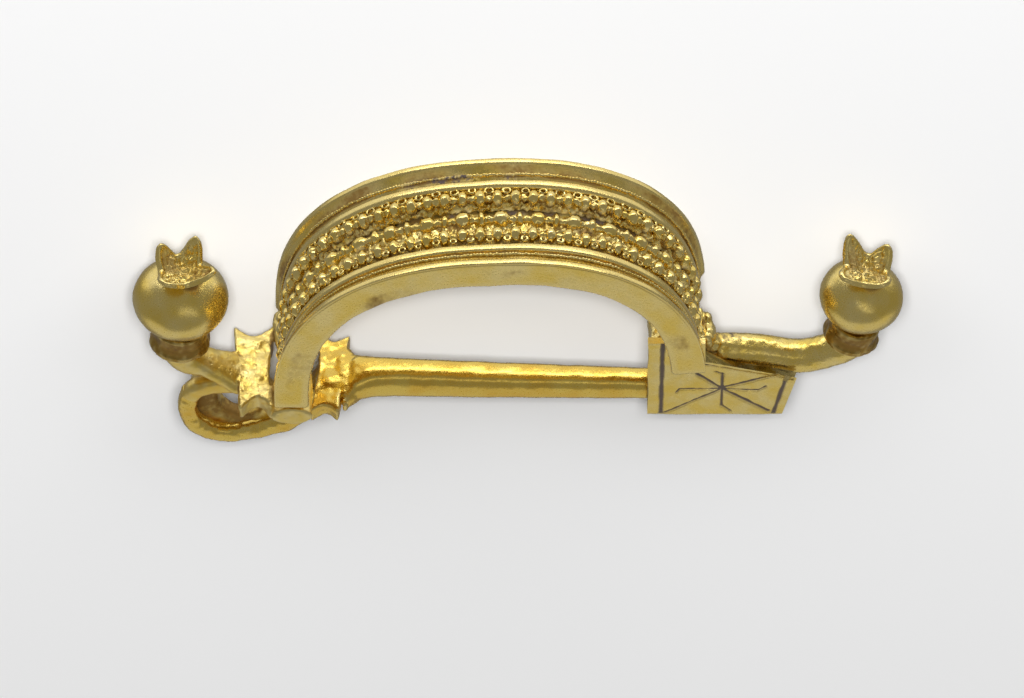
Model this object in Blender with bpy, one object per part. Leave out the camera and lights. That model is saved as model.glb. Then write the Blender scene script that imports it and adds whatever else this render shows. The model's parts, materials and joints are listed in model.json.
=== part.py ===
"""Gold arch-bow fibula brooch with pomegranate finials, lying on the rim of its bow.

Every piece is modelled with the brooch upright: X runs from the spring to the
catch, Y from the engraved face to the back, Z from the pin up to the top of the
bow. The origin of that frame is on the pin's line, under the middle of the bow.
One parent empty then lays the whole brooch down on its back rim.
"""
import math

import bmesh
import bpy
import numpy as np
from mathutils import Euler, Vector

MM = 0.001

# Clearances
SOLDER_GAP = 0.1 * MM
SWING_GAP = 0.3 * MM

# The bow: a band bent into an arch, with a sunk channel for the beaded wires
BOW_SPAN = 27.95 * MM
BOW_WIDTH = 9.2 * MM
BOW_THICKNESS = 2.3 * MM
BOW_SPRINGING_HEIGHT = 4.05 * MM
BOW_RISE = 12.5 * MM
BOW_LEFT_END_HEIGHT = 2.5 * MM
BOW_RIGHT_END_HEIGHT = 5.9 * MM
BOW_CENTRE_X = 0.1 * MM
BOW_SQUARENESS = 2.33
BOW_LEAN = 0.056
BOW_UNDERSIDE_HOLLOW = 0.3 * MM
BOW_STEPS = 38
ARCH_SAMPLES = 1200
BISECTION_STEPS = 60
RIM_LAND = 0.4 * MM
RIM_SLOPE_DROP = 0.62 * MM
RIDGE_WIDTH = 0.7 * MM
RIDGE_DEPTH = 0.36 * MM
RIDGE_SHOULDER = 0.15
RIDGE_ROUNDING = 0.25

# The three beaded wires in the channel
BEAD_DIAMETER = 1.0 * MM
BEAD_PITCH = 1.14 * MM
BEAD_NECK = 0.6
BEAD_SWELLS_AT = 0.3
BEAD_NARROWS_AT = 0.7
BEAD_TOP_DEPTH = 0.08 * MM
ROW_SPACING = 1.6 * MM
REEL_PITCH = 2.4 * MM
REEL_NECK = 0.72
REEL_COLLAR = 0.9
LONG_BEAD_SWELLS_AT = 0.12
LONG_BEAD_NARROWS_AT = 0.6
REEL_STARTS_AT = 0.72
REEL_WIDEST_AT = 0.86
CHANNEL_WALL_GAP = 0.25 * MM
WIRE_SIDES = 6
WIRE_END_MARGIN = 0.35 * MM

# The two four-tipped plates on either side of the bow's foot at the spring end
STAR_LENGTH = 7.6 * MM
HEAD_STAR_WIDTH = 2.5 * MM
PIN_STAR_WIDTH = 2.1 * MM
STAR_THICKNESS = 1.4 * MM
STAR_END_NOTCH = 1.05 * MM
STAR_SIDE_NOTCH = 0.25 * MM
STAR_TIP_CUT = 0.07
STAR_HOLLOWNESS = 1.6
STAR_SIDE_POINTS = 6
HEAD_STAR_TOP = 1.65 * MM
PIN_STAR_TOP = 1.2 * MM
PIN_STAR_SHORTER = 0.5 * MM
STAR_BAR_OVERLAP = 0.15 * MM

# The bar that the bow's end stands on
BAR_WIDTH = 2.6 * MM
BAR_HEIGHT = 1.45 * MM
BAR_SIDES = 16

# The spring: two turns, parted between them
SPRING_INNER_RADIUS = 2.1 * MM
SPRING_WIRE_DEPTH = 1.1 * MM
SPRING_WIRE_WIDTH = 1.1 * MM
SPRING_TURN_GAP = 0.4 * MM
SPRING_LEFT_OF_STAR = 1.85 * MM
SPRING_BELOW_STAR = 2.95 * MM
BACK_TURN_SHIFT = 0.65 * MM
FRONT_TURN_START = math.radians(155)
FRONT_TURN_END = math.radians(290)
FRONT_TURN_STEPS = 14
TURN_SECTION_SIDES = 8
TURN_STEPS = 26
WIRE_BOXINESS = 3.3
HINGE_TILT = math.radians(18)

# The pin
PIN_ROOT_HEIGHT = 0.6 * MM
PIN_ROOT_DIAMETER = 2.4 * MM
PIN_MOUTH_DIAMETER = 1.8 * MM
PIN_TIP_DIAMETER = 0.5 * MM
PIN_TIP_INSET = 1.6 * MM
PIN_SIDES = 12
PIN_BOXINESS = 2.4

# The arm that carries the finial at the spring end
ARM_WIDTH = 2.2 * MM
ARM_DEPTH = 1.36 * MM
ARM_REACH = 4.9 * MM
ARM_END_HEIGHT = 4.0 * MM
ARM_END_DIAMETER = 2.2 * MM
ARM_ROOT_WIDTH = 3.3 * MM
ARM_ROOT_DEPTH = 1.4 * MM
ARM_ROOT_BELOW_STAR_TOP = 0.1 * MM

# The foot: a round rod over a plate folded under the pin
ROD_DIAMETER = 2.2 * MM
ROD_HEIGHT = 3.2 * MM
ROD_REACH = 9.35 * MM
ROD_SAG = 0.55 * MM
ROD_BEND_RISE = 1.15 * MM
BLOCK_WIDTH = 3.0 * MM
BLOCK_INSET = 1.4 * MM
CATCH_BOTTOM_LENGTH = 8.7 * MM
CATCH_TOP_LENGTH = 10.4 * MM
CATCH_SLANT = 0.95 * MM
CATCH_DROP = 1.34 * MM
CATCH_SHEET = 0.5 * MM
CATCH_PIN_GAP = 0.3 * MM
CATCH_LIP = 0.45 * MM
CATCH_LIP_THICKNESS = 0.42 * MM
CATCH_FOLD_RADIUS = 0.35 * MM
CATCH_FOLD_STEPS = 4
CATCH_RIGHT_TOP = 2.5 * MM
CATCH_LEFT_RISE = 0.65 * MM
CATCH_WEB_DEPTH = 1.5 * MM

# The finials: a collar, and a pomegranate with a four-pointed calyx
LEFT_FRUIT_RADIUS = 3.1 * MM
LEFT_FRUIT_HALF_HEIGHT = 2.35 * MM
LEFT_COLLAR_RADIUS = 2.0 * MM
LEFT_LEAN = math.radians(1.5)
LEFT_CALYX_TURN = math.radians(60)
RIGHT_FRUIT_RADIUS = 2.71 * MM
RIGHT_FRUIT_HALF_HEIGHT = 2.2 * MM
RIGHT_FRUIT_STRAIGHTENING = math.radians(-7)
RIGHT_COLLAR_RADIUS = 1.85 * MM
RIGHT_LEAN = math.radians(13.5)
RIGHT_CALYX_TURN = math.radians(38)
COLLAR_HEIGHT = 1.75 * MM
COLLAR_EDGE = 0.35 * MM
COLLAR_SIDES = 24
CALYX_TEETH = 4
CALYX_NECK_RADIUS = 1.1 * MM
CALYX_HEIGHT = 1.9 * MM
CALYX_NOTCH_HEIGHT = 0.75 * MM
CALYX_TIP_RADIUS = 2.15 * MM
CALYX_NOTCH_RADIUS = 1.45 * MM
CALYX_WALL = 0.4 * MM
CALYX_TOOTH_SHARPNESS = 1.3
FRUIT_SIDES = 30
FRUIT_RINGS = 7

# Colours
GOLD = (0.80, 0.58, 0.22, 1.0)
PALE_GOLD = (0.72, 0.60, 0.34, 1.0)
DEEP_GOLD = (0.70, 0.45, 0.14, 1.0)
BROWN_GOLD = (0.42, 0.29, 0.11, 1.0)

# Places that follow from the sizes above
CHANNEL_HALF = ROW_SPACING + BEAD_DIAMETER / 2 + CHANNEL_WALL_GAP
CHANNEL_DEPTH = BEAD_TOP_DEPTH + BEAD_DIAMETER + SOLDER_GAP
BEAD_ROW_DEPTH = BEAD_TOP_DEPTH + BEAD_DIAMETER / 2


def clear_scene():
    """Remove whatever objects the file opened with."""
    for item in list(bpy.data.objects):
        bpy.data.objects.remove(item, do_unlink=True)


def gold(name, colour, roughness):
    """A plain metal with the piece's colour and polish."""
    material = bpy.data.materials.new(name)
    material.use_nodes = True
    shader = material.node_tree.nodes["Principled BSDF"]
    shader.inputs["Base Color"].default_value = colour
    shader.inputs["Metallic"].default_value = 1.0
    shader.inputs["Roughness"].default_value = roughness
    material.diffuse_color = colour
    return material


def finish_piece(name, bm, material, parent, sharp=math.radians(40)):
    """Turn a bmesh into a smooth-shaded object hung on its parent empty."""
    bmesh.ops.recalc_face_normals(bm, faces=bm.faces)
    mesh = bpy.data.meshes.new(name)
    bm.to_mesh(mesh)
    bm.free()
    mesh.shade_smooth()
    mesh.set_sharp_from_angle(angle=sharp)
    piece = bpy.data.objects.new(name, mesh)
    bpy.context.collection.objects.link(piece)
    if material is not None:
        mesh.materials.append(material)
    piece.parent = parent
    return piece


def empty(name, parent=None):
    """An empty, used as a frame to hang pieces on."""
    holder = bpy.data.objects.new(name, None)
    bpy.context.collection.objects.link(holder)
    holder.parent = parent
    return holder


def skin_rings(bm, rings, closed=False):
    """Join a list of equal vertex rings with quads and cap the two ends."""
    vert_rings = [[bm.verts.new(point) for point in ring] for ring in rings]
    count = len(vert_rings[0])
    spans = list(zip(vert_rings[:-1], vert_rings[1:]))
    if closed:
        spans.append((vert_rings[-1], vert_rings[0]))
    for first, second in spans:
        for k in range(count):
            nxt = (k + 1) % count
            bm.faces.new((first[k], first[nxt], second[nxt], second[k]))
    if not closed:
        bm.faces.new(list(reversed(vert_rings[0])))
        bm.faces.new(vert_rings[-1])


def boxed_circle(angle, boxiness):
    """A point of a unit circle (boxiness 2) or of a rounder or squarer box above it."""
    across, rise = math.cos(angle), math.sin(angle)
    power = 2 / boxiness
    return math.copysign(abs(across) ** power, across), math.copysign(abs(rise) ** power, rise)


def rod_rings(path, sides, boxiness=2.0):
    """Rings of a rod along path; a stop is (x, y, z, half width in Y, half depth)."""
    centres = [Vector(stop[:3]) for stop in path]
    rings = []
    for index, stop in enumerate(path):
        before = centres[max(index - 1, 0)]
        after = centres[min(index + 1, len(path) - 1)]
        along = (after - before).normalized()
        up = along.cross(Vector((0, 1, 0))).normalized()
        side = up.cross(along)
        ring = []
        for k in range(sides):
            across, rise = boxed_circle(2 * math.pi * (k + 0.5) / sides, boxiness)
            ring.append(centres[index] + side * across * stop[3] + up * rise * stop[4])
        rings.append(ring)
    return rings


def smooth_path(stops, per_span):
    """A Catmull-Rom curve through stops of any width, as a list of tuples."""
    stops = [np.array(stop) for stop in stops]
    padded = [2 * stops[0] - stops[1]] + stops + [2 * stops[-1] - stops[-2]]
    points = []
    for index in range(1, len(padded) - 2):
        a, b, c, d = padded[index - 1:index + 3]
        for step in range(per_span):
            t = step / per_span
            points.append(0.5 * (2 * b + (c - a) * t + (2 * a - 5 * b + 4 * c - d) * t ** 2
                                 + (3 * b - a - 3 * c + d) * t ** 3))
    points.append(stops[-1])
    return [tuple(float(value) for value in point) for point in points]


def fuse(base, others):
    """Union the other objects into base and remove them."""
    for index, other in enumerate(others):
        union = base.modifiers.new(f"fuse_{index}", "BOOLEAN")
        union.operation = "UNION"
        union.solver = "EXACT"
        union.object = other
    bake_modifiers(base)
    for other in others:
        bpy.data.objects.remove(other, do_unlink=True)


def bake_modifiers(piece):
    """Replace a piece's mesh with the one its modifiers make."""
    depsgraph = bpy.context.evaluated_depsgraph_get()
    depsgraph.update()
    baked = bpy.data.meshes.new_from_object(piece.evaluated_get(depsgraph))
    piece.modifiers.clear()
    old = piece.data
    name = old.name
    piece.data = baked
    bpy.data.meshes.remove(old)
    baked.name = name


def arch_outline():
    """Points and outward normals along the top of the bow's rims, left end to right."""
    centre_z = BOW_SPRINGING_HEIGHT
    half_span = BOW_SPAN / 2

    def point(t):
        c, s = math.cos(t), math.sin(t)
        power = 2 / BOW_SQUARENESS
        reach = half_span * math.copysign(abs(c) ** power, c)
        rise = BOW_RISE * math.copysign(abs(s) ** power, s)
        return BOW_CENTRE_X + reach, centre_z + rise + BOW_LEAN * reach

    def turn_at_height(height, low, high):
        for _ in range(BISECTION_STEPS):
            middle = (low + high) / 2
            if point(middle)[1] > height:
                low = middle
            else:
                high = middle
        return low

    left = turn_at_height(BOW_LEFT_END_HEIGHT, math.pi / 2, 1.4 * math.pi)
    right = turn_at_height(BOW_RIGHT_END_HEIGHT, math.pi / 2, -0.4 * math.pi)
    points = np.array([point(t) for t in np.linspace(left, right, ARCH_SAMPLES)])
    tangents = np.gradient(points, axis=0)
    tangents /= np.linalg.norm(tangents, axis=1)[:, None]
    normals = np.stack([-tangents[:, 1], tangents[:, 0]], axis=1)
    lengths = np.concatenate([[0], np.cumsum(np.linalg.norm(np.diff(points, axis=0), axis=1))])
    return points, normals, lengths


class Arch:
    """The bow's line, read by the distance along it and the depth below its rims."""

    def __init__(self):
        self.points, self.normals, self.lengths = arch_outline()
        self.length = float(self.lengths[-1])

    def at(self, distance, y, depth):
        place = [np.interp(distance, self.lengths, self.points[:, k]) for k in (0, 1)]
        normal = [np.interp(distance, self.lengths, self.normals[:, k]) for k in (0, 1)]
        size = math.hypot(*normal)
        x = place[0] - normal[0] / size * depth
        z = place[1] - normal[1] / size * depth
        return Vector((float(x), y, float(z)))

    def depth_direction(self, distance):
        return (self.at(distance, 0, 0) - self.at(distance, 0, MM)).normalized()


def bow_half_profile():
    """Half of the band's section, rim to middle, as (distance from centre, depth)."""
    edge = BOW_WIDTH / 2
    ridge_outer = CHANNEL_HALF + RIDGE_WIDTH
    ridge_middle = CHANNEL_HALF + RIDGE_WIDTH / 2
    ridge_shoulder = RIDGE_DEPTH + RIDGE_ROUNDING * RIDGE_WIDTH
    shoulder_inset = RIDGE_SHOULDER * RIDGE_WIDTH
    return [
        (edge, BOW_THICKNESS),
        (edge, 0.0),
        (edge - RIM_LAND, 0.0),
        (ridge_outer, RIM_SLOPE_DROP),
        (ridge_outer - shoulder_inset, ridge_shoulder),
        (ridge_middle, RIDGE_DEPTH),
        (CHANNEL_HALF + shoulder_inset, ridge_shoulder),
        (CHANNEL_HALF, CHANNEL_DEPTH - BEAD_DIAMETER / 4),
        (CHANNEL_HALF - CHANNEL_WALL_GAP / 2, CHANNEL_DEPTH),
    ]


def make_bow(arch, parent):
    """The band itself, swept along the arch."""
    half = bow_half_profile()
    hollow = BOW_THICKNESS - BOW_UNDERSIDE_HOLLOW
    underside = [(BOW_WIDTH / 3, hollow), (0.0, hollow), (-BOW_WIDTH / 3, hollow)]
    outline = [(-y, depth) for y, depth in half] + list(reversed(half)) + underside
    rings = []
    for step in range(BOW_STEPS + 1):
        distance = arch.length * step / BOW_STEPS
        rings.append([arch.at(distance, y, depth) for y, depth in outline])
    bm = bmesh.new()
    skin_rings(bm, rings)
    return finish_piece("bow", bm, gold("bow_gold", PALE_GOLD, 0.34), parent)


def beaded_wire(name, arch, y, pitch, beat, parent):
    """A wire of beads; beat lists (share of the pitch, share of the radius)."""
    usable = arch.length - 2 * WIRE_END_MARGIN
    count = max(int(usable / pitch), 1)
    step = usable / count
    radius = BEAD_DIAMETER / 2
    stops = [(k + share, size) for k in range(count) for share, size in beat]
    stops.append((count, beat[0][1]))
    rings = []
    for place, size in stops:
        distance = WIRE_END_MARGIN + place * step
        centre = arch.at(distance, y, BEAD_ROW_DEPTH)
        out = arch.depth_direction(distance)
        ring = []
        for k in range(WIRE_SIDES):
            angle = 2 * math.pi * (k + 0.5) / WIRE_SIDES
            side = Vector((0, math.cos(angle), 0))
            ring.append(centre + (side + out * math.sin(angle)) * radius * size)
        rings.append(ring)
    bm = bmesh.new()
    skin_rings(bm, rings)
    return finish_piece(name, bm, gold(f"{name}_gold", GOLD, 0.3), parent)


def make_beaded_wires(arch, parent):
    """Two rows of round beads beside a row of long beads and narrow reels."""
    round_beads = [(0.0, BEAD_NECK), (BEAD_SWELLS_AT, 1.0), (BEAD_NARROWS_AT, 1.0)]
    long_beads = [
        (0.0, REEL_NECK),
        (LONG_BEAD_SWELLS_AT, 1.0),
        (LONG_BEAD_NARROWS_AT, 1.0),
        (REEL_STARTS_AT, REEL_NECK),
        (REEL_WIDEST_AT, REEL_COLLAR),
    ]
    beaded_wire("beaded_wire_front", arch, -ROW_SPACING, BEAD_PITCH, round_beads, parent)
    beaded_wire("beaded_wire_middle", arch, 0.0, REEL_PITCH, long_beads, parent)
    beaded_wire("beaded_wire_back", arch, ROW_SPACING, BEAD_PITCH, round_beads, parent)


def star_outline(length, width):
    """A rectangle with hollow sides, so that its four corners stand out as tips."""
    half_x, half_y = width / 2, length / 2
    corners = [(half_x, -half_y), (half_x, half_y), (-half_x, half_y), (-half_x, -half_y)]
    notches = [STAR_SIDE_NOTCH, STAR_END_NOTCH, STAR_SIDE_NOTCH, STAR_END_NOTCH]
    points = []
    for index, (start, notch) in enumerate(zip(corners, notches)):
        end = corners[(index + 1) % len(corners)]
        inward = Vector((start[1] - end[1], end[0] - start[0])).normalized()
        for k in range(STAR_SIDE_POINTS):
            share = STAR_TIP_CUT + (1 - 2 * STAR_TIP_CUT) * k / (STAR_SIDE_POINTS - 1)
            sag = notch * (1 - abs(2 * share - 1) ** STAR_HOLLOWNESS)
            x = start[0] + (end[0] - start[0]) * share + inward[0] * sag
            y = start[1] + (end[1] - start[1]) * share + inward[1] * sag
            points.append((x, y))
    return points


def star_plate(name, centre_x, top, length, width):
    """One four-tipped plate, lying level with its top at the height given."""
    outline = star_outline(length, width)
    lower = [Vector((centre_x + x, y, top - STAR_THICKNESS)) for x, y in outline]
    upper = [Vector((centre_x + x, y, top)) for x, y in outline]
    bm = bmesh.new()
    skin_rings(bm, [lower, upper])
    return finish_piece(name, bm, None, None)


class Layout:
    """Places of the pieces around the bow, worked out from its two ends."""

    def __init__(self, arch):
        left_outer, left_inner = arch.at(0, 0, 0), arch.at(0, 0, BOW_THICKNESS)
        right_outer = arch.at(arch.length, 0, 0)
        right_inner = arch.at(arch.length, 0, BOW_THICKNESS)
        self.bar_x = (left_outer.x + left_inner.x) / 2
        self.bar_z = min(left_outer.z, left_inner.z) - SOLDER_GAP - BAR_HEIGHT / 2
        self.head_star_x = self.bar_x - BAR_WIDTH / 2 + STAR_BAR_OVERLAP - HEAD_STAR_WIDTH / 2
        self.pin_star_x = self.bar_x + BAR_WIDTH / 2 + SWING_GAP + PIN_STAR_WIDTH / 2
        self.spring_radius = SPRING_INNER_RADIUS + SPRING_WIRE_DEPTH / 2
        self.spring_x = self.head_star_x - SPRING_LEFT_OF_STAR
        self.spring_z = HEAD_STAR_TOP - SPRING_BELOW_STAR
        self.front_turn_y = -(SPRING_TURN_GAP + SPRING_WIRE_WIDTH) / 2
        self.back_turn_y = (SPRING_TURN_GAP + SPRING_WIRE_WIDTH) / 2
        self.arm_end_x = self.head_star_x - ARM_REACH
        self.block_left = right_inner.x - BLOCK_INSET
        self.block_right = right_outer.x
        self.block_top = min(right_outer.z, right_inner.z) - SOLDER_GAP
        self.rod_end_x = self.block_right + ROD_REACH
        self.pin_mouth_x = self.block_left
        self.pin_tip_x = self.block_left + CATCH_BOTTOM_LENGTH - PIN_TIP_INSET
        self.catch_back = -(PIN_MOUTH_DIAMETER / 2 + CATCH_PIN_GAP)
        self.catch_front = self.catch_back - CATCH_SHEET


def turn_path(centre_x, y, centre_z, radius, start, end, steps):
    """Stops of the spring's wire along part of one turn."""
    stops = []
    for step in range(steps + 1):
        angle = start + (end - start) * step / steps
        x = centre_x + radius * math.cos(angle)
        z = centre_z + radius * math.sin(angle)
        stops.append((x, y, z, SPRING_WIRE_WIDTH / 2, SPRING_WIRE_DEPTH / 2))
    return stops


def make_head(place, parent):
    """Arm, four-tipped plate, bar and back turn of the spring, all one casting."""
    star = star_plate("head", place.head_star_x, HEAD_STAR_TOP, STAR_LENGTH, HEAD_STAR_WIDTH)
    bar_half = BOW_WIDTH / 2 - SOLDER_GAP
    bar_rings = []
    for y in (-bar_half, bar_half):
        ring = []
        for k in range(BAR_SIDES):
            angle = 2 * math.pi * k / BAR_SIDES
            x = place.bar_x + BAR_WIDTH / 2 * math.cos(angle)
            z = place.bar_z + BAR_HEIGHT / 2 * math.sin(angle)
            ring.append(Vector((x, y, z)))
        bar_rings.append(ring)
    bar_mesh = bmesh.new()
    skin_rings(bar_mesh, bar_rings)
    bar = finish_piece("bar", bar_mesh, None, None)

    back_x = place.spring_x + BACK_TURN_SHIFT
    turn = turn_path(back_x, place.back_turn_y, place.spring_z, place.spring_radius,
                     0, 2 * math.pi * (TURN_STEPS - 1) / TURN_STEPS, TURN_STEPS - 1)
    turn_mesh = bmesh.new()
    turn_rings = []
    for x, y, z, half_width, half_depth in turn:
        out = Vector((x - back_x, 0, z - place.spring_z)).normalized()
        ring = []
        for k in range(TURN_SECTION_SIDES):
            across, rise = boxed_circle(2 * math.pi * (k + 0.5) / TURN_SECTION_SIDES, WIRE_BOXINESS)
            ring.append(Vector((x, y + across * half_width, z)) + out * rise * half_depth)
        turn_rings.append(ring)
    skin_rings(turn_mesh, turn_rings, closed=True)
    back_turn = finish_piece("back_turn", turn_mesh, None, None)

    seat_z = ARM_END_HEIGHT - SOLDER_GAP
    root_z = HEAD_STAR_TOP - ARM_ROOT_BELOW_STAR_TOP - ARM_ROOT_DEPTH / 2
    rise = seat_z - root_z
    root_half = ARM_ROOT_WIDTH / 2
    root_depth = ARM_ROOT_DEPTH / 2
    end_half = ARM_END_DIAMETER / 2
    stops = [
        (place.head_star_x, 0, root_z, root_half, root_depth),
        (place.head_star_x - 0.6 * HEAD_STAR_WIDTH, 0, root_z + 0.05 * rise, root_half, root_depth),
        (place.head_star_x - 0.66 * ARM_REACH, 0, root_z + 0.4 * rise, ARM_WIDTH / 2, ARM_DEPTH / 2),
        (place.arm_end_x + 0.2 * end_half, 0, seat_z - end_half, end_half, end_half),
        (place.arm_end_x, 0, seat_z, end_half, end_half),
    ]
    arm_mesh = bmesh.new()
    arm_rings = rod_rings(smooth_path(stops, 3), PIN_SIDES)
    lean = Vector((math.sin(LEFT_LEAN), 0, math.cos(LEFT_LEAN)))
    flatten_above(arm_rings, Vector((place.arm_end_x, 0, seat_z)), lean)
    skin_rings(arm_mesh, arm_rings)
    arm = finish_piece("arm", arm_mesh, None, None)
    fuse(star, [bar, back_turn, arm])
    star.data.materials.clear()
    star.data.materials.append(gold("head_gold", GOLD, 0.4))
    star.parent = parent
    return star


def flatten_above(rings, seat, lean):
    """Press a rod's end flat against the leaning plane that a collar sits on."""
    for ring in rings:
        for point in ring:
            excess = (point - seat).dot(lean)
            if excess > 0 or ring is rings[-1]:
                point -= lean * excess


def make_pin(place, hinge):
    """Front turn of the spring, the strip that rises from it, its plate and the pin."""
    turn = turn_path(place.spring_x, place.front_turn_y, place.spring_z, place.spring_radius,
                     FRONT_TURN_START, FRONT_TURN_END, FRONT_TURN_STEPS)
    root_x = place.pin_star_x + PIN_STAR_WIDTH / 2
    run = place.pin_mouth_x - root_x
    root = PIN_ROOT_DIAMETER / 2
    mouth = PIN_MOUTH_DIAMETER / 2
    tip = PIN_TIP_DIAMETER / 2
    strip_half = SPRING_WIRE_WIDTH / 2
    strip_z = place.spring_z - 0.5 * place.spring_radius
    rise = [
        (place.bar_x - 0.1 * BAR_WIDTH, place.front_turn_y, strip_z, strip_half, 1.4 * strip_half),
        (place.bar_x + 0.7 * BAR_WIDTH, place.front_turn_y / 2, 0.0, 0.75 * root, 0.8 * root),
        (root_x - 0.1 * PIN_STAR_WIDTH, 0.0, 0.8 * PIN_ROOT_HEIGHT, root, 0.95 * root),
        (root_x + 0.1 * run, 0.0, 0.95 * PIN_ROOT_HEIGHT, root, root),
        (root_x + 0.5 * run, 0.0, 0.5 * PIN_ROOT_HEIGHT, (root + mouth) / 2, (root + mouth) / 2),
        (place.pin_mouth_x, 0.0, 0.0, mouth, mouth),
        ((place.pin_mouth_x + place.pin_tip_x) / 2, 0.0, 0.0, (mouth + tip) / 2, (mouth + tip) / 2),
        (place.pin_tip_x, 0.0, 0.0, tip, tip),
    ]
    path = turn[:-1] + smooth_path([turn[-1]] + rise, 3)
    pin_mesh = bmesh.new()
    skin_rings(pin_mesh, rod_rings(path, PIN_SIDES, PIN_BOXINESS))
    pin = finish_piece("pin", pin_mesh, None, None)
    length = STAR_LENGTH - PIN_STAR_SHORTER
    star = star_plate("pin_star", place.pin_star_x, PIN_STAR_TOP, length, PIN_STAR_WIDTH)
    fuse(pin, [star])
    pin.data.materials.clear()
    pin.data.materials.append(gold("pin_gold", DEEP_GOLD, 0.3))
    pin.parent = hinge
    pin.matrix_parent_inverse = hinge.matrix_basis.inverted()
    return pin


def catch_section(place):
    """The folded plate seen from its end, as (y, z) points in order."""
    front, back = place.catch_front, place.catch_back
    bottom = -CATCH_DROP
    fold = CATCH_FOLD_RADIUS
    top = place.block_top
    points = [(front, top)]
    for step in range(CATCH_FOLD_STEPS + 1):
        angle = math.pi + math.pi / 2 * step / CATCH_FOLD_STEPS
        points.append((front + fold + fold * math.cos(angle), bottom + fold + fold * math.sin(angle)))
    lip_end = back + CATCH_LIP
    points += [
        (lip_end, bottom),
        (lip_end, bottom + CATCH_LIP_THICKNESS),
        (back, bottom + CATCH_LIP_THICKNESS),
        (back, CATCH_WEB_DEPTH),
        (0.0, CATCH_WEB_DEPTH + ROD_DIAMETER / 4),
        (0.0, top),
    ]
    return points


def make_foot(place, parent):
    """Rod, block under the bow's end and folded catch plate, all one casting."""
    rod_half = ROD_DIAMETER / 2
    lean = Vector((math.sin(RIGHT_LEAN), 0, math.cos(RIGHT_LEAN)))
    seat = Vector((place.rod_end_x, 0, ROD_HEIGHT + ROD_BEND_RISE))
    stops = [(place.block_left + 0.1 * BLOCK_WIDTH, 0, ROD_HEIGHT, rod_half, rod_half),
             (place.block_right + 0.3 * ROD_REACH, 0, ROD_HEIGHT, rod_half, rod_half),
             (place.block_right + 0.64 * ROD_REACH, 0, ROD_HEIGHT - ROD_SAG, rod_half, rod_half),
             (place.rod_end_x - 0.14 * ROD_REACH, 0, ROD_HEIGHT, rod_half, rod_half),
             (seat.x - 0.25 * lean.x * ROD_BEND_RISE, 0, seat.z - 0.4 * ROD_BEND_RISE, rod_half, rod_half),
             (seat.x, 0, seat.z, rod_half, rod_half)]
    rings = rod_rings(smooth_path(stops, 3), PIN_SIDES)
    flatten_above(rings, seat, lean)
    rod_mesh = bmesh.new()
    skin_rings(rod_mesh, rings)
    rod = finish_piece("foot_with_catch", rod_mesh, None, None)

    section = catch_section(place)
    far_right = place.block_left + CATCH_TOP_LENGTH + CATCH_SLANT
    plate_mesh = bmesh.new()
    skin_rings(plate_mesh, [[Vector((x, y, z)) for y, z in section]
                            for x in (place.block_left, far_right)])
    plate = finish_piece("catch_plate", plate_mesh, None, None)
    bottom_right = place.block_left + CATCH_BOTTOM_LENGTH
    left_of_all = place.block_left - BLOCK_WIDTH
    below_all = -2 * CATCH_DROP
    above_all = place.block_top + BLOCK_WIDTH
    corner_height = 0.9 * CATCH_RIGHT_TOP
    slant_below = CATCH_SLANT * CATCH_DROP / (CATCH_DROP + corner_height)
    outline = [
        (left_of_all, below_all),
        (bottom_right - slant_below, below_all),
        (bottom_right + CATCH_SLANT, corner_height),
        (place.block_left + CATCH_TOP_LENGTH, CATCH_RIGHT_TOP),
        (place.block_right, ROD_HEIGHT + CATCH_LEFT_RISE),
        (place.block_right, above_all),
        (left_of_all, above_all),
    ]
    trim_mesh = bmesh.new()
    skin_rings(trim_mesh, [[Vector((x, y, z)) for x, z in outline] for y in (-BOW_WIDTH, BOW_WIDTH)])
    trim = finish_piece("plate_outline", trim_mesh, None, None)
    cut = plate.modifiers.new("outline", "BOOLEAN")
    cut.operation = "INTERSECT"
    cut.solver = "EXACT"
    cut.object = trim
    bake_modifiers(plate)
    bpy.data.objects.remove(trim, do_unlink=True)

    block_mesh = bmesh.new()
    half = BLOCK_WIDTH / 2
    low = ROD_HEIGHT - rod_half / 2
    corners = [(place.block_left + SOLDER_GAP, low), (place.block_right - SOLDER_GAP, low),
               (place.block_right - SOLDER_GAP, place.block_top),
               (place.block_left + SOLDER_GAP, place.block_top)]
    skin_rings(block_mesh, [[Vector((x, y, z)) for x, z in corners] for y in (-0.8 * half, half)])
    block = finish_piece("block", block_mesh, None, None)
    fuse(rod, [plate, block])
    rod.data.materials.clear()
    rod.data.materials.append(gold("foot_gold", GOLD, 0.36))
    rod.parent = parent
    return rod


def make_collar(name, radius, parent):
    """A plain turned ring under a pomegranate, its underside at the origin."""
    edge = COLLAR_EDGE
    outline = [(0, 0), (radius - edge, 0), (radius - edge * 0.3, edge * 0.3), (radius, edge),
               (radius, COLLAR_HEIGHT - edge / 2), (radius - edge / 2, COLLAR_HEIGHT),
               (0, COLLAR_HEIGHT)]
    bm = bmesh.new()
    turned_body(bm, outline, COLLAR_SIDES, None)
    return finish_piece(name, bm, gold(f"{name}_gold", BROWN_GOLD, 0.4), parent)


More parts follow.
